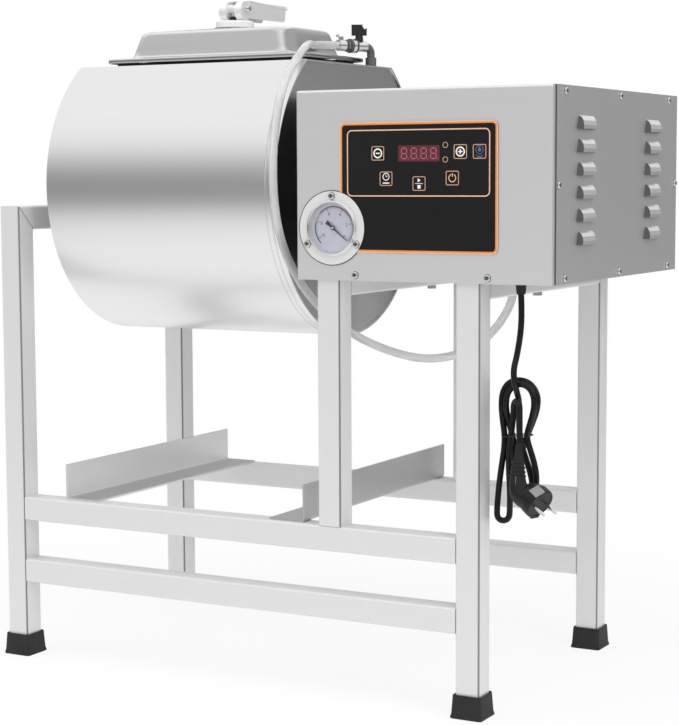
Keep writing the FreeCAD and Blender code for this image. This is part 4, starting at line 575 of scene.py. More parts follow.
def settle(piece, name, finish, body="frame"):
    """Put a finished piece's place in its mesh, and give it its name, finish and body."""
    take(piece)
    bpy.ops.object.transform_apply(location=True, rotation=True, scale=True)
    piece.name = name
    piece.data.name = name
    piece.data.materials.clear()
    piece.data.materials.append(finish)
    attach(piece, body)
    return piece


print("helpers ready")

# %% [markdown]
# Print and thin marks start as flat shapes. A plane or a disc is cut, rounded or hollowed in edit mode while it
# is flat, because that is easier than in the solid, and gets its depth last.

# %% Helpers for flat shapes


def flat_plate(x, y, z, width, height, corner=0, steps=5, turn=0):
    """A flat plate that faces the front, with round or cut corners, in millimetres."""
    piece = fresh(bpy.ops.mesh.primitive_plane_add, size=0.001, location=spot(x, y, z),
                  rotation=(math.pi / 2, -turn, 0))
    sized(piece, width, height)
    if corner:
        with edit_mode(piece):
            bpy.ops.mesh.bevel(offset=corner / 1000, segments=steps, affect="VERTICES")
    return piece


def flat_disc(x, y, z, radius, corners=40, turn=0):
    """A flat disc that faces the front, in millimetres."""
    return fresh(bpy.ops.mesh.primitive_circle_add, vertices=corners, radius=radius / 1000, fill_type="NGON",
                 location=spot(x, y, z), rotation=(math.pi / 2, -turn, 0))


def hollow_out(piece, line):
    """Leave only a line of a given width along a flat shape's edge."""
    with edit_mode(piece):
        bpy.ops.mesh.inset(thickness=line / 1000)
        bpy.ops.mesh.delete(type="FACE")
    return piece


def keep_arc(ring, start, end):
    """Leave of a ring only the part between two angles, in degrees from the right, turning upwards."""
    for face in ring.data.polygons:
        angle = math.degrees(math.atan2(face.center.y, face.center.x)) % 360
        face.select = not start <= (angle if angle >= start else angle + 360) <= end
    with edit_mode(ring, everything=False):
        bpy.ops.mesh.delete(type="FACE")
    return ring


print("flat helpers ready")

# %% [markdown]
# The control panel's film is printed: an orange border, an inner frame, six keys and a four-digit display.
# Print on a real film is a thin layer of ink, so each mark is a flat shape a sixth of a millimetre thick.
# Marks of one colour are joined to one piece. The gauge's flange covers the film's lower left corner, so a
# round cutter takes the border away there.

# %% Ink finishes


def ink_finish(name, colour, faded, roughness=0.35):
    """Ink is a moulded skin with hardly any grain."""
    return moulded_finish(name, colour, faded, roughness, 400, 0.00001)


orange_ink = ink_finish("ink_orange", (0.76, 0.28, 0.085), (0.70, 0.25, 0.08))
peach_ink = ink_finish("ink_peach", (0.80, 0.52, 0.36), (0.72, 0.44, 0.29))
key_ink = ink_finish("ink_key_outline", (0.60, 0.36, 0.25), (0.52, 0.30, 0.20))
white_ink = ink_finish("ink_white", (0.86, 0.84, 0.82), (0.78, 0.75, 0.73))
blue_ink = ink_finish("ink_dim_blue", (0.12, 0.14, 0.24), (0.09, 0.11, 0.20))
display_red = moulded_finish("display_window", (0.125, 0.030, 0.042), (0.10, 0.024, 0.034), 0.12, 60, 0.00001)
digit_pink = ink_finish("display_segments", (0.40, 0.115, 0.15), (0.34, 0.10, 0.13), 0.3)
print("ink finishes ready")

# %% Printed control panel
FILM_FACE = -3.8
INK_DEPTH = 0.16
INK_FACE = FILM_FACE - INK_DEPTH
PANEL_MIDDLE = (592.5, 601)
gauge_x, gauge_z = 483, 555
FLANGE_RADIUS = 42.3


def print_marks(name, marks, finish, depth=INK_DEPTH):
    """Flat marks of one colour, joined and given the ink's depth."""
    piece = join(marks)
    thicken(piece, depth)
    return settle(piece, name, finish)


def printed_frame(name, x, z, width, height, corner, line, finish):
    """A printed line round a rounded field, cut off where the gauge's flange covers it."""
    piece = hollow_out(flat_plate(x, INK_FACE, z, width, height, corner), line)
    thicken(piece, INK_DEPTH)
    cutter = fresh(bpy.ops.mesh.primitive_cylinder_add, vertices=96, radius=FLANGE_RADIUS / 1000 + 0.0002,
                   depth=0.02, location=spot(gauge_x, INK_FACE, gauge_z), rotation=(math.pi / 2, 0, 0))
    cut_away(piece, cutter)
    return settle(piece, name, finish)


printed_frame("panel_edge_line", *PANEL_MIDDLE, 197, 147, 7, 1.1, peach_ink)
printed_frame("panel_border", *PANEL_MIDDLE, 194.8, 144.8, 5.9, 2, orange_ink)
printed_frame("panel_inner_frame", 592.5, 628.5, 178, 75, 6, 1.3, peach_ink)

KEY_SIZE, KEY_CORNER, KEY_LINE = 16, 2, 0.9
keys = {"minus": (543, 639.5), "plus": (645.5, 640.5), "mode": (668.7, 640.5), "clock": (553.4, 611),
        "start": (594.8, 605.5), "power": (635.8, 611.5)}
outlines = [hollow_out(flat_plate(x, INK_FACE, z, KEY_SIZE, KEY_SIZE, KEY_CORNER), KEY_LINE)
            for x, z in keys.values()]
outlines += [hollow_out(flat_disc(627.2, INK_FACE, z, 3.3), 0.7) for z in (648, 632)]
print_marks("panel_key_outlines", outlines, key_ink)


def sign_ring(key, radius, line, lift=0):
    """A ring on a key, which is given by its name."""
    x, z = keys[key]
    return hollow_out(flat_disc(x, INK_FACE, z + lift, radius), line)


def sign_bar(key, right_by, up_by, width, height, turn=0):
    """A bar on a key, at a distance from the key's middle."""
    x, z = keys[key]
    return flat_plate(x + right_by, INK_FACE, z + up_by, width, height, 0.3, 2, turn)


white_signs = [sign_ring("minus", 5.6, 1.5), sign_bar("minus", 0, 0, 5, 1.4), sign_ring("plus", 5.6, 1.5),
               sign_bar("plus", -1.75, 0, 1.9, 1.4), sign_bar("plus", 1.75, 0, 1.9, 1.4),
               sign_bar("plus", 0, 0, 1.5, 5.4), sign_ring("clock", 4.3, 0.9, 2.2),
               sign_bar("clock", 0, 3.3, 0.7, 2.2), sign_bar("clock", 0.9, 2.4, 2, 0.7, math.radians(20)),
               sign_bar("clock", 0, -4.9, 8.4, 1.3), sign_bar("start", 0, 0, 10.2, 0.6),
               sign_bar("start", 0, -3.6, 3.9, 3.9)]
start_x, start_z = keys["start"]
white_signs.append(flat_disc(start_x - 0.4, INK_FACE, start_z + 3.6, 2.5, corners=3, turn=math.radians(-90)))
print_marks("panel_signs", white_signs, white_ink)
power_ring = keep_arc(sign_ring("power", 4.7, 1), 120, 420)
print_marks("panel_power_sign", [power_ring, sign_bar("power", 0, 3.4, 1, 4.2)], peach_ink)
mode_drop = flat_disc(keys["mode"][0], INK_FACE, keys["mode"][1] + 1.8, 2.1, corners=24)
for point in mode_drop.data.vertices:
    if point.co.y > 0.0019:
        point.co.y += 0.0016
mode_signs = [mode_drop, sign_ring("mode", 4.9, 0.8, 2), sign_bar("mode", 0, -4, 11.5, 0.5),
              sign_bar("mode", 0, -5.7, 7, 1.2)]
print_marks("panel_mode_sign", mode_signs, blue_ink)

# %% [markdown]
# The display shows four digits, each of seven lit bars and a point. Text would bring in a font, so the bars are
# flat plates with cut corners that stand on the red window.

# %% Display window and its digits
DISPLAY_X, DISPLAY_Z = 594.4, 639
DIGIT_DEPTH = 0.08
DIGIT_FACE = INK_FACE - DIGIT_DEPTH
print_marks("display_window", [flat_plate(DISPLAY_X, INK_FACE, DISPLAY_Z, 51.6, 18, 1, 3)], display_red)
segments = []
for place in range(4):
    middle = DISPLAY_X + (place - 1.5) * 12.2
    for level in (-5.8, 0, 5.8):
        segments.append(flat_plate(middle, DIGIT_FACE, DISPLAY_Z + level, 5.4, 1.3, 0.6, 1))
    for side in (-3.3, 3.3):
        for level in (-2.9, 2.9):
            segments.append(flat_plate(middle + side, DIGIT_FACE, DISPLAY_Z + level, 1.3, 5, 0.6, 1))
    segments.append(flat_disc(middle + 5.3, DIGIT_FACE, DISPLAY_Z - 6, 0.7, 12))
print_marks("display_digits", segments, digit_pink, DIGIT_DEPTH)
print("panel printed")

# %% [markdown]
# The gauge's dial lies deep behind a low bezel, so that its can shows as a dark crescent on the left. On the
# dial are a coloured band, fine ticks and plain numbers, all thin shapes. Can, bezel, window and dial are
# sections that are spun round the gauge's axis, and the pointer is a flat blade with a broad tail.

# %% Gauge dial
DIAL_INK = 0.12
DIAL_FACE = 2.2 - DIAL_INK
NUMBER_RADIUS, NUMBER_SIZE = 17, 0.0056
FIRST_NUMBER, NUMBER_STEP, TICK_STEP = -38, 50, 5


def print_dial(name, marks, finish):
    """Marks on the dial, printed as those on the panel are."""
    return print_marks(name, marks, finish, DIAL_INK)


def on_dial(radius, angle):
    """A place on the dial, at a radius and an angle from the right, turning upwards."""
    way = math.radians(angle)
    return gauge_x + radius * math.cos(way), DIAL_FACE, gauge_z + radius * math.sin(way)


def dial_arc(line, start, end):
    """A line of a given width along the dial's edge, between two angles."""
    return keep_arc(hollow_out(flat_disc(gauge_x, DIAL_FACE, gauge_z, 25.2, corners=180), line), start, end)


DIAL_BANDS = [("red", (0.20, 0.030, 0.060), 26, 137), ("yellow", (0.50, 0.43, 0.27), 137, 166),
              ("teal", (0.02, 0.13, 0.13), 166, 226)]
for colour_name, colour, start, end in DIAL_BANDS:
    ink = ink_finish("dial_" + colour_name, colour, tuple(value * 1.15 for value in colour))
    print_dial("dial_band_" + colour_name, [dial_arc(1.5, start, end)], ink)
dark_ink = ink_finish("dial_dark_ink", (0.05, 0.05, 0.06), (0.09, 0.09, 0.11))
ticks = [dial_arc(0.8, 322, 360), dial_arc(1.2, 0, 26)]
for step in range(51):
    angle = FIRST_NUMBER + step * TICK_STEP
    length, width = (3.4, 0.75) if step % 10 == 0 else (1.8, 0.35)
    ticks.append(flat_plate(*on_dial(23.6 - length / 2, angle), length, width, turn=math.radians(angle)))
print_dial("dial_ticks", ticks, dark_ink)
numbers = []
for step, label in enumerate(("0", "2", "4", "6", "8", "10")):
    place = spot(*on_dial(NUMBER_RADIUS, FIRST_NUMBER + step * NUMBER_STEP))
    number = fresh(bpy.ops.object.text_add, location=place, rotation=(math.pi / 2, 0, 0))
    number.data.body = label
    number.data.size = NUMBER_SIZE
    number.data.align_x = "CENTER"
    number.data.align_y = "CENTER"
    bpy.ops.object.convert(target="MESH")
    numbers.append(bpy.context.object)
print_dial("dial_numbers", numbers, dark_ink)
print("dial printed")

# %% [markdown]
# Round pieces such as the gauge's can, the plug's pins and the rings on the valve are turned or drawn on a
# round tool. Half of the piece's section is drawn once and spun round its axis, which keeps every edge of it
# exact.

# %% Helpers for round pieces


def outline(places, fill="NGON"):
    """A closed outline through given places, filled or open."""
    piece = fresh(bpy.ops.mesh.primitive_circle_add, vertices=len(places), radius=0.01, fill_type=fill)
    for point, place in zip(piece.data.vertices, places):
        point.co = place
    return piece


def turned_to(axis):
    """The turn that carries the upward direction to an axis."""
    return Vector((0, 0, 1)).rotation_difference(Vector(axis)).to_matrix().to_4x4()


def turned(name, section, place, axis, finish, body="frame", steps=72):
    """A closed section of (radius, along) in millimetres, spun about an axis through a place."""
    piece = outline([(radius / 1000, 0, along / 1000) for radius, along in section], "NOTHING")
    with edit_mode(piece):
        bpy.ops.mesh.spin(steps=steps, angle=2 * math.pi, center=(0, 0, 0), axis=(0, 0, 1))
        bpy.ops.mesh.select_all(action="SELECT")
        bpy.ops.mesh.remove_doubles(threshold=0.000001)
        bpy.ops.mesh.normals_make_consistent(inside=False)
    bpy.ops.object.shade_smooth_by_angle(angle=math.radians(35))
    piece.matrix_world = Matrix.Translation(spot(*place)) @ turned_to(axis)
    return settle(piece, name, finish, body)


print("round helpers ready")

# %% [markdown]
# The gauge is a drawn can with a flange, a low polished bezel, a glass window and a deep dial. Each could be
# made of cylinders, but a section spun round the gauge's axis has the right edges at once.

# %% Gauge case, bezel, window and dial


def on_gauge(name, section, finish, steps=96, level=FILM_FACE, body="frame"):
    """A piece turned round the gauge's axis, measured forwards from a level."""
    return turned(name, section, (gauge_x, level, gauge_z), (0, -1, 0), finish, body, steps)


case_section = [(29.2, 2), (30.9, 2), (30.9, 0), (42, 0), (42.3, -0.3), (42.3, -0.8), (30.5, -0.8),
                (30.5, -30), (6, -30), (6, -43.8), (0, -44), (0, -28.8), (29.2, -28.8)]
case = on_gauge("gauge_drawn_case", case_section, gauge_steel)
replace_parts(case, "gauge_case")
bezel_section = [(29.3, 1.9), (29.3, 2.9), (29.7, 3.4), (30.4, 3.5), (31, 3.1), (31.2, 2.4), (31.2, 0.6),
                 (31.8, 0.05), (30.6, 0), (30.6, 1.9)]
on_gauge("gauge_bezel", bezel_section, bezel_steel)
window_section = [(0, 0.7), (29.1, 0.7), (29.1, 1.9), (0, 1.9)]
gauge_window = on_gauge("gauge_window", window_section, glass_clear, 72)
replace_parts(gauge_window, "gauge_glass")
dial_section = [(0, -6), (29.1, -6), (29.1, -7), (20, -7), (20, -28.6), (0, -28.6)]
dial = on_gauge("gauge_dial_plate", dial_section, dial_white, 72)
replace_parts(dial, "gauge_dial")
# A black ring round the flange's rim: painted shadow along the flange's edge.
flange_edge = [(42.3, -0.2), (42.9, -0.2), (43.1, 0.3), (42.9, 0.8), (42.3, 0.8)]
on_gauge("gauge_flange_edge_shadow", flange_edge, gasket_rubber, level=FILM_FACE + 0.8)
print("gauge case ready")

# %% [markdown]
# The pointer is a thin blade with a broad tail on a hub. The blade is cut from sheet, so it is a flat outline
# with a depth, and hub and cap are turned.

# %% Gauge pointer
POINTER_LEVEL = -0.6
pointer_way = math.radians(-39)
blade_outline = [(-10.8, -2.5), (-2.4, -1.2), (0, -1.1), (23.6, -0.3), (23.6, 0.3), (0, 1.1), (-2.4, 1.2),
                 (-10.8, 2.5)]
blade = outline([spot(gauge_x + along * math.cos(pointer_way) - aside * math.sin(pointer_way), POINTER_LEVEL,
                      gauge_z + along * math.sin(pointer_way) + aside * math.cos(pointer_way))
                 for along, aside in blade_outline])
thicken(blade, 0.4, 0)
blade = settle(blade, "gauge_pointer_blade", handle_plastic, "gauge_needle")
hub_section = [(0, -2.7), (0.9, -2.7), (0.9, -0.6), (2.6, -0.6), (2.6, 0.5), (2.1, 0.9), (0, 0.9)]
hub = on_gauge("gauge_pointer_hub", hub_section, handle_plastic, 32, POINTER_LEVEL,
               "gauge_needle")
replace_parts(join([blade, hub]), "gauge_needle")
cap_section = [(0, 0.8), (1.4, 0.8), (1.4, 1.2), (1, 1.5), (0, 1.6)]
on_gauge("gauge_pointer_cap", cap_section, white_ink, 24, POINTER_LEVEL, "gauge_needle")
print("gauge dressed")

# %% [markdown]
# Fifteen pan-head screws with cross slots hold the cover, the panel and the gauge. One is modelled: a short
# cylinder with a rounded rim, a shank, and a cross cut into its head. It is then copied to each place with
# its slots turned differently, as hand-driven screws end up.

# %% Cross-slot screws


def cross_bar(width, depth, height, level, turn):
    """A bar at a level above the screw's seat, in metres, turned round the screw's axis."""
    bar = fresh(bpy.ops.mesh.primitive_cube_add, size=0.001, location=(0, 0, level), rotation=(0, 0, turn))
    return sized(bar, width, depth, height)


def slotted_screw():
    """A pan head with a rounded rim and a cross cut into it, on its shank."""
    head = fresh(bpy.ops.mesh.primitive_cylinder_add, vertices=32, radius=0.004, depth=0.0022,
                 location=(0, 0, 0.0011))
    bpy.ops.object.transform_apply(location=True)
    select_edges(head, lambda place: place.z > 0.002)
    with edit_mode(head, everything=False):
        bpy.ops.mesh.select_mode(type="EDGE")
        bpy.ops.mesh.bevel(offset=0.0013, segments=4)
    for turn in CROSS_TURNS:
        cut_away(head, cross_bar(4.6, 0.95, 2.2, 0.0022, turn))
    shank = fresh(bpy.ops.mesh.primitive_cylinder_add, vertices=16, radius=0.002, depth=0.008,
                  location=(0, 0, -0.0041))
    screw = join([head, shank])
    bpy.ops.object.shade_smooth_by_angle(angle=math.radians(40))
    return screw


def screw_shadow():
    """The dark floor of the cross slot and the dark line under a screw's rim."""
    rim = fresh(bpy.ops.mesh.primitive_cylinder_add, vertices=32, radius=0.00445, depth=0.0003,
                location=(0, 0, 0.00015))
    return join([rim] + [cross_bar(4.5, 0.93, 0.5, 0.0013, turn) for turn in CROSS_TURNS])


def copy_of(pattern):
    """A copy that has its own mesh."""
    copy = pattern.copy()
    copy.data = pattern.data.copy()
    bpy.context.collection.objects.link(copy)
    return copy


def copies_at(pattern, places):
    """Copies of a pattern at (x, y, z, facing) places, each turned a little further, joined to one piece."""
    copies = []
    for number, (x, y, z, facing) in enumerate(places):
        copy = copy_of(pattern)
        slot_turn = Matrix.Rotation(math.radians(FIRST_SLOT_TURN + SLOT_TURN_STEP * number), 4, "Z")
        copy.matrix_world = Matrix.Translation(spot(x, y, z)) @ turned_to(FACING[facing]) @ slot_turn
        copies.append(copy)
    bpy.data.objects.remove(pattern, do_unlink=True)
    return join(copies)


def place_screws(name, places, replaced):
    """Screws at their places, with the shadows in and under them, in place of the plain solids."""
    piece = settle(copies_at(slotted_screw(), places), name, plated_steel)
    settle(copies_at(screw_shadow(), places), name + "_shadow", slot_dark)
    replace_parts(piece, replaced)


CROSS_TURNS = (0, math.pi / 2)
FIRST_SLOT_TURN, SLOT_TURN_STEP = 17, 47
FACING = {"right": (1, 0, 0), "front": (0, -1, 0), "rear": (0, 1, 0)}
COVER_FACE, COVER_MIDDLE = 756, 603.5
LOW_ROW, HIGH_ROW = 501.5, 705.5
cover_places = [(COVER_FACE, y, z, "right") for z in (LOW_ROW, HIGH_ROW) for y in (29.5, 199, 368.5)]
cover_places += [(COVER_FACE, y, COVER_MIDDLE, "right") for y in (11, 394.5)]
skirt_places = [(x, y, LOW_ROW, facing)
                for x in (513, 678) for y, facing in ((-3, "front"), (401, "rear"))]
place_screws("slotted_panel_screws", cover_places + skirt_places, "panel_screws")
gauge_places = [(gauge_x + aside, FILM_FACE, gauge_z + up, "front")
                for aside, up in ((0, 36.7), (-31.78, -18.35), (31.78, -18.35))]
place_screws("slotted_gauge_screws", gauge_places, "gauge_screws")
print("screws placed", len(cover_places + skirt_places + gauge_places))

# %% [markdown]
# The plug is an angled one with a round face. Its body bends from the cord to the face, which a curve with a
# growing radius gives in one smooth form. Ribs on the neck let it flex, two pins and a bright earth clip
# finish it. The whole plug stands for its plain solid.

# %% Angled mains plug


def swept_body(name, points, finish):
    """A solid whose round section grows and shrinks along a route of (x, y, z, radius) in millimetres."""
    take(round_curve(name, points, 1, 8, 8))
    bpy.ops.object.convert(target="MESH")
    return settle(bpy.context.object, name, finish)


def leaning_plate(middle, wide, tall, thick, x_way, y_way):
    """A bevelled plate whose width and height run along two directions."""
    piece = sized(fresh(bpy.ops.mesh.primitive_cube_add, size=0.001), wide, tall, thick)
    modify(piece, "BEVEL", width=min(thick, 1.2) / 3000, segments=3)
    z_way = x_way.cross(y_way).normalized()
    lean = Matrix((x_way, y_way, z_way)).transposed().to_4x4()
    piece.matrix_world = Matrix.Translation(spot(*middle)) @ lean
    return piece


plug_face = Vector((738, 8, 252))
plug_way = Vector((0.80, -0.30, -0.52)).normalized()
plug_back = plug_face - plug_way * 13
grip_base = Vector((708, 14, 281))
grip_top = Vector((705.5, 25, 316))
neck_way = (grip_base - grip_top).normalized()
elbow = [
    (*grip_top, 4.2), (*grip_top.lerp(grip_base, 0.35), 5), (*grip_top.lerp(grip_base, 0.75), 7.4),
    (*grip_base, 8.6), (709.5, 12, 270, 10.2), (713, 11.5, 262, 12.6), (720, 12, 259.5, 15.6),
    (*(plug_back + plug_way * 0.5), 16.8), (*(plug_back + plug_way * 3), 17.2),
]
plug_parts = [swept_body("plug_elbow", elbow, plug_rubber)]
rim_section = [(0, 0), (16.8, 0), (18.2, 1.2), (18.5, 2.6), (18.5, 11.2), (17.6, 12.6), (16.4, 13),
               (15.6, 12.4), (0, 12.4)]
plug_parts.append(turned("plug_head", rim_section, plug_back, plug_way, plug_rubber, steps=48))
rib_section = [(-1.2, -1), (0.6, -1), (1.1, 0), (0.6, 1), (-1.2, 1)]
for step in range(4):
    middle = grip_top.lerp(grip_base, 0.60 + 0.13 * step)
    section = [(6.5 + 0.65 * step + outward, along) for outward, along in rib_section]
    plug_parts.append(turned("plug_rib", section, middle, neck_way, plug_rubber, steps=32))
across = plug_way.cross(Vector((0, 0, 1))).normalized()
above = across.cross(plug_way).normalized()
pin_section = [(0, -1), (2, -1), (2, 15.4), (1.8, 17.2), (1, 18.6), (0, 19)]
pins = [turned(name, pin_section, plug_face - plug_way + across * side, plug_way, plated_steel,
               steps=24)
        for name, side in (("plug_pin_left", -9.5), ("plug_pin_right", 9.5))]
plug_middle = plug_back + plug_way * 7
clip_out = (Vector((-0.01, -0.87, 0.49)) * 0.75 + above * 0.66).normalized()
clip = leaning_plate(plug_middle + clip_out * 18.3, 12.4, 13, 1, plug_way, plug_way.cross(clip_out))
clip = settle(clip, "plug_earth_clip", clip_steel)
lobe = leaning_plate(plug_middle - above * 17.4 - across * 2, 12, 12, 4, plug_way, across)
plug_parts.append(settle(lobe, "plug_lobe", plug_rubber))
# A thin ridge along the grip in a light rubber: its light colour is a painted highlight on the ridge's edge.
grip_highlight_line = [(*(grip_base + Vector((1.5, -8.4, 1))), 0.5), (710.6, 2.6, 271, 0.7), (712, 1.4, 263, 0.7),
             (714.5, -0.6, 257, 0.5)]
grip_highlight = swept_body("plug_grip_highlight", grip_highlight_line, ink_finish("plug_grip_painted_highlight", 0.12, 0.18))
plug = join(plug_parts)
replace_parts(plug, "mains_plug")
print("plug made of", len(plug_parts), "forms and", len(pins), "pins")

# %% [markdown]
# A thin wire tie holds the hank: it goes once round the waist and its two ends are twisted and stick out at
# the right. It could be a torus, but the waist isn't round, so it is a swept curve that lies on the cord's
# strands.

# %% Wire tie
tie_route = [
    (690, 29.5, 322.5), (684, 31, 322), (678.8, 36, 321), (679.5, 46, 321.5), (687, 55, 322),
    (697, 57.6, 322.6), (706, 56, 323), (712.6, 48, 323.6), (713.2, 38, 324), (709.5, 31.6, 324.4),
    (703, 26.6, 324.6), (696, 26.2, 323.6), (691, 28, 323.4),
]
end_route = [(709.5, 31.6, 324.2, 0.75), (713.5, 30, 326, 0.75), (716.5, 29, 330, 0.75),
             (718.5, 28.5, 331, 0.6)]
twist_route = [(709, 31, 323.6, 0.75), (713, 29.5, 322, 0.75), (715.5, 28.5, 325.5, 0.75),
               (714, 28, 329, 0.6)]
tie = join([swept_body("hank_wire_tie", [(*point, 0.75) for point in tie_route], wire_rubber),
            swept_body("hank_tie_end", end_route, wire_rubber),
            swept_body("hank_tie_twist", twist_route, wire_rubber)])
print("tie has", len(tie.data.vertices), "points")

# %% [markdown]
# The lid is one deep-drawn steel pan: a rolled flange, steep walls that run out of it in a soft foot, a wide
# round shoulder and a nearly level top with a low collar round the clamp disc. Drawn sheet has no straight
# profile, so the pan is built as a stack of rounded rings that are bridged, and gets the sheet's thickness
# last.

# %% Drawn lid pan


def ring_stack(middle, rings):
    """Rounded rings of (width, depth, corner, level), each bridged to the next."""
    loops = []
    loops = []
    for width, depth, corner, level in rings:
        loop = fresh(bpy.ops.mesh.primitive_plane_add, size=0.001, location=spot(*middle, level))
        sized(loop, width, depth)
        with edit_mode(loop):
            bpy.ops.mesh.bevel(offset=corner / 1000, segments=12, affect="VERTICES")
            bpy.ops.mesh.select_all(action="SELECT")
            bpy.ops.mesh.delete(type="ONLY_FACE")
        loops.append(loop)
    stack = join(loops)
    with edit_mode(stack):
        bpy.ops.mesh.bridge_edge_loops()
        bpy.ops.mesh.select_all(action="SELECT")
        bpy.ops.mesh.normals_make_consistent(inside=False)
    return stack


pan_rings = [
    (298, 168, 20.5, 759.6), (300, 170, 21.5, 760.8), (300, 170, 21.5, 763.4), (298.6, 168.6, 20.8, 764.7),
    (295, 165, 20, 765.2), (252, 152, 24, 765.4), (245, 145, 24, 766.8), (241, 141, 24, 769.8),
    (238.5, 138.5, 24, 775), (229, 129, 24, 791.5), (226.5, 126.5, 24, 795.2), (222, 122, 24, 797.8),
    (214, 114, 23, 799.4), (200, 100, 24, 800.2), (110, 82, 40, 801.6), (66, 66, 32.8, 802.4),
    (60, 60, 29.8, 802.9), (55, 55, 27.3, 804.2), (52, 52, 25.8, 804.6), (50.2, 50.2, 24.9, 804.2),
    (49.8, 49.8, 24.7, 802),
]
pan = ring_stack((230.5, 199), pan_rings)
thicken(pan, 1.1)
bpy.ops.object.shade_smooth_by_angle(angle=math.radians(50))
settle(pan, "drawn_lid_pan", lid_steel, "lid")
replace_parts(pan, "lid_pan")
print("pan has", len(pan.data.polygons), "faces")

# %% [markdown]
# The rubber feet are moulded cups that flare out towards the floor and end in a thin lip. The same stack of
# rings makes one, with a closed sole, and a copy stands for each of the four plain ones.

# %% Flared rubber feet
foot_rings = [(30, 30, 3, 0.05), (38.4, 38.4, 3.4, 0.15), (40.2, 40.2, 3.6, 0.9), (39.8, 39.8, 3.6, 2.6),
              (38, 38, 3.4, 5.5), (35.2, 35.2, 3, 26.2), (34.7, 34.7, 2.8, 27.2), (33.8, 33.8, 2.6, 27.6)]
one_foot = ring_stack((0, 0), foot_rings)
select_edges(one_foot, lambda place: place.z < 0.00005)
with edit_mode(one_foot, everything=False):
    bpy.ops.mesh.edge_face_add()
    bpy.ops.mesh.select_all(action="SELECT")
    bpy.ops.mesh.normals_make_consistent(inside=False)
thicken(one_foot, 1.6)
bpy.ops.object.shade_smooth_by_angle(angle=math.radians(40))
for side, foot_y in (("front", 15), ("rear", 383)):
    for end, foot_x in (("left", 15), ("right", 653)):
        foot = copy_of(one_foot)
        foot.location = spot(foot_x, foot_y, foot_rings[0][3])
        settle(foot, f"{side}_{end}_flared_foot", foot_rubber)
        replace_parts(foot, f"{side}_{end}_foot")
bpy.data.objects.remove(one_foot, do_unlink=True)
print("feet ready")

# %% [markdown]
# Two fine beads are rolled into the drum's shell near the end beside the box, where the photograph shows
# thin parallel lines. A bead is a small round section that is spun round the drum's axis, cut off where the
# shell is flat on top, and carried across the flat by a straight bar. The same way gives the welded fillets
# that run round both end plates inside the rim.

# %% Rolled beads and end fillets
DRUM_AXIS = (199, 602)
FLAT_TOP = 754


def shell_ring(name, section, x, way, finish, top):
    """A section spun round the drum's axis and cut off level at the shell's flat."""
    ring = turned(name, section, (x, *DRUM_AXIS), (way, 0, 0), finish, "drum", 160)
    knife = fresh(bpy.ops.mesh.primitive_cube_add, size=0.001, location=spot(x, DRUM_AXIS[0], top + 30))
    cut_away(ring, sized(knife, 20, 300, 60))
    return ring


bead_section = [(187.4, -0.9), (188.3, -0.9), (188.8, -0.45), (188.95, 0), (188.8, 0.45), (188.3, 0.9),
                (187.4, 0.9)]
for number, bead_x in enumerate((385, 392)):
    bead = shell_ring(f"shell_bead_{number}", bead_section, bead_x, 1, drum_steel, FLAT_TOP)
    bar = leaning_plate((bead_x, DRUM_AXIS[0], FLAT_TOP + 0.1), 220, 1.8, 1.6, Vector((0, 1, 0)),
                        Vector((-1, 0, 0)))
    join([bead, settle(bar, "bead_bar", drum_steel, "drum")])
fillet_section = [(182.8, -0.3), (186.45, -0.3), (186.45, 2.3), (185.9, 2.1), (184.8, 1.2), (183.8, 0.4)]
for name, plate_x, way in (("right_end_fillet", 397.6, 1), ("left_end_fillet", 68.4, -1)):
    shell_ring(name, fillet_section, plate_x, way, end_steel, FLAT_TOP - 2)
print("beads rolled")

# %% [markdown]
# The top rail meets the left legs in mitred corners, and each joint shows as a thin dark line. A groove
# could be cut into the tubes, but it would be finer than a pixel, so a thin dark plate stands in each joint
# and just shows.

# %% Mitre seams
rail_top = max(corner[2] for corner in nodes["left_top_rail"].bound_box) * 1000
leaning = math.sqrt(0.5)
seams = [leaning_plate((30.05, middle_y, rail_top - 15), 40, 0.6, 0.3, Vector((0, slope, -leaning)),
                       Vector((0, leaning, slope)))
         for middle_y, slope in ((15, leaning), (383, -leaning))]
settle(join(seams), "mitre_seams", slot_dark)
print("seams drawn")

# %% [markdown]
# The cam lever is a folded channel: its top flange stands a little proud of the two side walls. Its pin ends
# in a drilled head on the right-hand side, and between its two lobes a dark nut holds the clamp stud. The
# solid lever is plain, so thin walls and a lip are laid on it with soft edges, and the round pieces are
# turned.

# %% Cam lever details

LEVER_SIDE = [(206, 837.6), (206, 817.6), (212, 816.6), (292, 817.4), (296.5, 819.6), (299, 832.6)]


def side_wall(x):
    """The lever's side wall as a flat outline in the drawing's side view, a millimetre thick."""
    wall = outline([spot(x, y, z) for y, z in LEVER_SIDE])
    thicken(wall, 1, 0)
    modify(wall, "BEVEL", width=0.0003, segments=2)
    return wall


lip = leaning_plate(Vector((230, 256.5, 836.9)), 35.6, 99, 1.4, Vector((1, 0, 0)),
                    Vector((0, 0.99916, -0.041)).normalized())
lever_skin = join([side_wall(247.1), side_wall(212.9), lip])
settle(lever_skin, "lever_channel_skin", clamp_steel, "cam_lever")
pin_head = [(0, 0), (4, 0), (4, 5.6), (3.5, 6.4), (1.9, 6.6), (1.7, 6.2), (1.7, 3.6), (0, 3.4)]
pin_bore_shade = [(0, 0), (1.6, 0), (1.6, 0.5), (0, 0.5)]
stud_nut = [(0, 0), (6.2, 0), (6.4, 0.6), (6.4, 5.4), (6, 6), (4, 6.2), (3.9, 21.5), (3.2, 22.4),
            (0, 22.6)]
turned("lever_pin_head", pin_head, (246.9, 199, 828.8), (1, 0, 0), plated_steel,
       "cam_lever", 32)
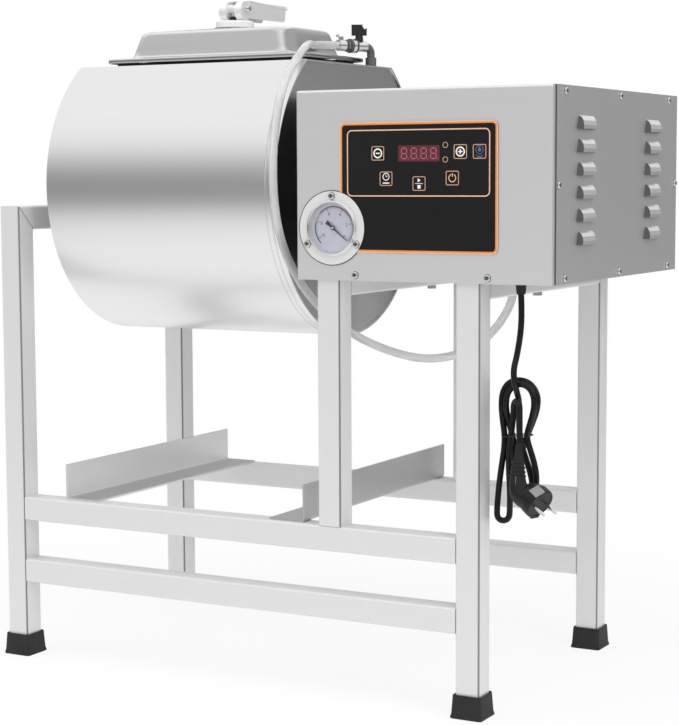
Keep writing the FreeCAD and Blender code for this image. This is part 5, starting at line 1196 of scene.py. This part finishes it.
# A dark disc at the floor of the pin head's hole: painted shade.
turned("lever_pin_bore_shade", pin_bore_shade, (250.6, 199, 828.8), (1, 0, 0), slot_dark,
       "cam_lever", 24)
turned("clamp_stud_nut", stud_nut, (230, 199, 813.1), (0, 0, 1), slot_dark, "lid", 6)
print("lever dressed")

# %% [markdown]
# The valve on the drum has a short black wing handle on its stem. Rubber rings and a knurled ring sit
# between its body, its nut and the hose. The wing is a bevelled block with a notch cut into it, set square
# to the photograph's view. Stem, rings and the hose clamp's screw are turned, each round its own axis.

# %% Valve handle and rings
picture_right = Vector((0.877, 0.480, 0))
picture_back = Vector((-0.480, 0.877, 0))
handle_middle = Vector((382.3, 253.6, 799.4))
wing = leaning_plate(handle_middle, 19.5, 9, 13.6, picture_right, picture_back)
notch = leaning_plate(handle_middle + picture_right * 8.6 + Vector((0, 0, 5.4)), 8, 12, 6,
                      (picture_right + Vector((0, 0, 0.6))).normalized(), picture_back)
cut_away(wing, notch)
wing = settle(wing, "valve_wing_handle", handle_plastic, "valve_handle")
stem_section = [(0, 0), (3.4, 0), (3.4, 4), (5.2, 4.4), (5.2, 9), (4.4, 14), (0, 14.2)]
stem = turned("valve_stem", stem_section, (382.3, 253.6, 779.5), (0, 0, 1), handle_plastic,
              "valve_handle", 32)
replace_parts(join([wing, stem]), "valve_handle")
barrel_way = Vector((-0.4067, -0.9135, 0))
barrel_start = Vector((390, 271, 779))


def barrel_ring(name, along, length, inner, outer, finish, steps=48):
    """A ring with soft edges round the valve's barrel, at a distance along it."""
    section = [(inner, 0), (outer - 0.4, 0), (outer, 0.4), (outer, length - 0.4), (outer - 0.4, length),
               (inner, length)]
    return turned(name, section, barrel_start + barrel_way * along, barrel_way, finish, "drum", steps)


barrel_ring("valve_body_seal", 24.6, 2.2, 7, 9, valve_plastic)
barrel_ring("valve_knurled_ring", 27.6, 5, 7, 9.2, plated_steel, steps=28)
barrel_ring("valve_nut_seal", 33.4, 2.4, 6, 9, valve_plastic)
barrel_ring("valve_end_ring", 38.4, 2.6, 5, 7.6, valve_plastic)
screw_stem = [(0, 0), (1.1, 0), (1.1, 3.4), (2.6, 3.6), (2.8, 4.4), (2.6, 5.4), (0, 5.6)]
turned("clamp_worm_screw", screw_stem, (369, 226.5, 788.2), (-0.5, -0.3, 0.8), plated_steel,
       "drum", 20)
print("valve dressed")

# %% [markdown]
# The photograph has a pure white ground, and its drum mirrors a soft grey horizon between a bright floor and
# a bright ceiling. The floor and the room are white to the camera. In mirrored rays both grow darker towards
# the horizon, which gives the drum its grey middle, and the box and its cover their greys. Near the machine
# the floor keeps a share of its real shading, so a faint shadow stays under the feet.

# %% White floor
studio_floor = fresh(bpy.ops.mesh.primitive_plane_add, size=24, location=(0, 0, 0))
studio_floor.name = "studio_floor"
floor_white, floor_tree, floor_shader, floor_place = new_finish(
    "studio_floor_white", Base_Color=colour_of(0.90), Roughness=0.9, Specular_IOR_Level=0)
studio_floor.data.materials.append(floor_white)
HORIZON, CEILING = 0.27, 0.98
SHADOW_START, SHADOW_END, SHADOW_SHARE = 0.45, 1.1, 0.86
MIRROR_START, MIRROR_END = 0.6, 4.2


def mixed(tree, start, end, factor):
    """A value between two others, each a number or a socket."""
    node = add_node(tree, "ShaderNodeMix", data_type="FLOAT")
    for label, value in (("A", start), ("B", end), ("Factor", factor)):
        if isinstance(value, (int, float)):
            node.inputs[label].default_value = value
        else:
            tree.links.new(value, node.inputs[label])
    return node.outputs["Result"]


def ranged(tree, value, low, high, at_low, at_high):
    """A smooth change from one value to another over a range."""
    node = add_node(tree, "ShaderNodeMapRange", interpolation_type="SMOOTHSTEP")
    set_inputs(node, From_Min=low, From_Max=high, To_Min=at_low, To_Max=at_high)
    tree.links.new(value, node.inputs["Value"])
    return node.outputs["Result"]


rays = add_node(floor_tree, "ShaderNodeLightPath").outputs
distance = add_node(floor_tree, "ShaderNodeVectorMath", operation="LENGTH")
floor_tree.links.new(floor_place, distance.inputs[0])
shown_share = ranged(floor_tree, distance.outputs["Value"], SHADOW_START, SHADOW_END, SHADOW_SHARE, 1)
mirrored = ranged(floor_tree, distance.outputs["Value"], MIRROR_START, MIRROR_END, CEILING, HORIZON)
share = mixed(floor_tree, 0, shown_share, rays["Is Camera Ray"])
share = mixed(floor_tree, share, 1, rays["Is Glossy Ray"])
share = mixed(floor_tree, share, 1, rays["Is Transmission Ray"])
glow = add_node(floor_tree, "ShaderNodeEmission")
glow_strength = mixed(floor_tree, 1, mirrored, rays["Is Glossy Ray"])
glow_strength = mixed(floor_tree, glow_strength, 1, rays["Is Transmission Ray"])
floor_mix = add_node(floor_tree, "ShaderNodeMixShader")
connect(floor_tree, (glow_strength, glow.inputs["Strength"]), (share, floor_mix.inputs["Fac"]),
        (floor_shader.outputs["BSDF"], floor_mix.inputs[1]), (glow.outputs["Emission"], floor_mix.inputs[2]),
        (floor_mix.outputs["Shader"], floor_tree.nodes["Material Output"].inputs["Surface"]))
print("floor ready")

# %% [markdown]
# The room is Blender's world: white to the camera, a plain soft light to the surfaces, and a grey slope from
# the horizon to the ceiling in mirrored rays. Three large soft lamps add direction to that light, as a light
# tent does.

# %% Room and lamps
world = bpy.data.worlds.new("studio")
bpy.context.scene.world = world
world.use_nodes = True
room = world.node_tree
SLOPE_START, SLOPE_END, ZENITH_START = 0.05, 0.52, 0.86
ZENITH, SOFT_LIGHT = 0.78, 0.60
background = room.nodes["Background"]
set_inputs(background, Color=colour_of(1))
seen = add_node(room, "ShaderNodeLightPath").outputs
look_way = add_node(room, "ShaderNodeSeparateXYZ")
room.links.new(add_node(room, "ShaderNodeTexCoord").outputs["Generated"], look_way.inputs["Vector"])
height_shade = ranged(room, look_way.outputs["Z"], SLOPE_START, SLOPE_END, HORIZON, CEILING)
zenith = ranged(room, look_way.outputs["Z"], ZENITH_START, 1, 0, 1)
height_shade = mixed(room, height_shade, ZENITH, zenith)
strength = mixed(room, SOFT_LIGHT, 1, seen["Is Camera Ray"])
strength = mixed(room, strength, height_shade, seen["Is Glossy Ray"])
strength = mixed(room, strength, 1, seen["Is Transmission Ray"])
room.links.new(strength, background.inputs["Strength"])


def soft_lamp(name, place, aim, width, height, power):
    """A rectangular lamp that looks at a point. Mirrors don't show it, as in a light tent."""
    data = bpy.data.lights.new(name, "AREA")
    data.shape = "RECTANGLE"
    data.size = width
    data.size_y = height
    data.energy = power
    lamp = bpy.data.objects.new(name, data)
    bpy.context.collection.objects.link(lamp)
    direction = Vector(aim) - Vector(place)
    lamp.matrix_world = Matrix.Translation(place) @ direction.to_track_quat("-Z", "Y").to_matrix().to_4x4()
    lamp.visible_glossy = False


soft_lamp("lamp_above", (0.2, -0.8, 2.6), (0, 0, 0.5), 2.2, 1.8, 28)
soft_lamp("lamp_left", (-2.4, -1.8, 1.2), (0, 0, 0.5), 1.4, 2.2, 22)
soft_lamp("lamp_right", (2.4, -1.2, 1.4), (0.2, 0, 0.5), 1, 2, 26)
print("studio ready")

# %% [markdown]
# The colours are shown as they are, without a film look.

# %% Show the colours as they are
bpy.context.scene.view_settings.view_transform = "Standard"
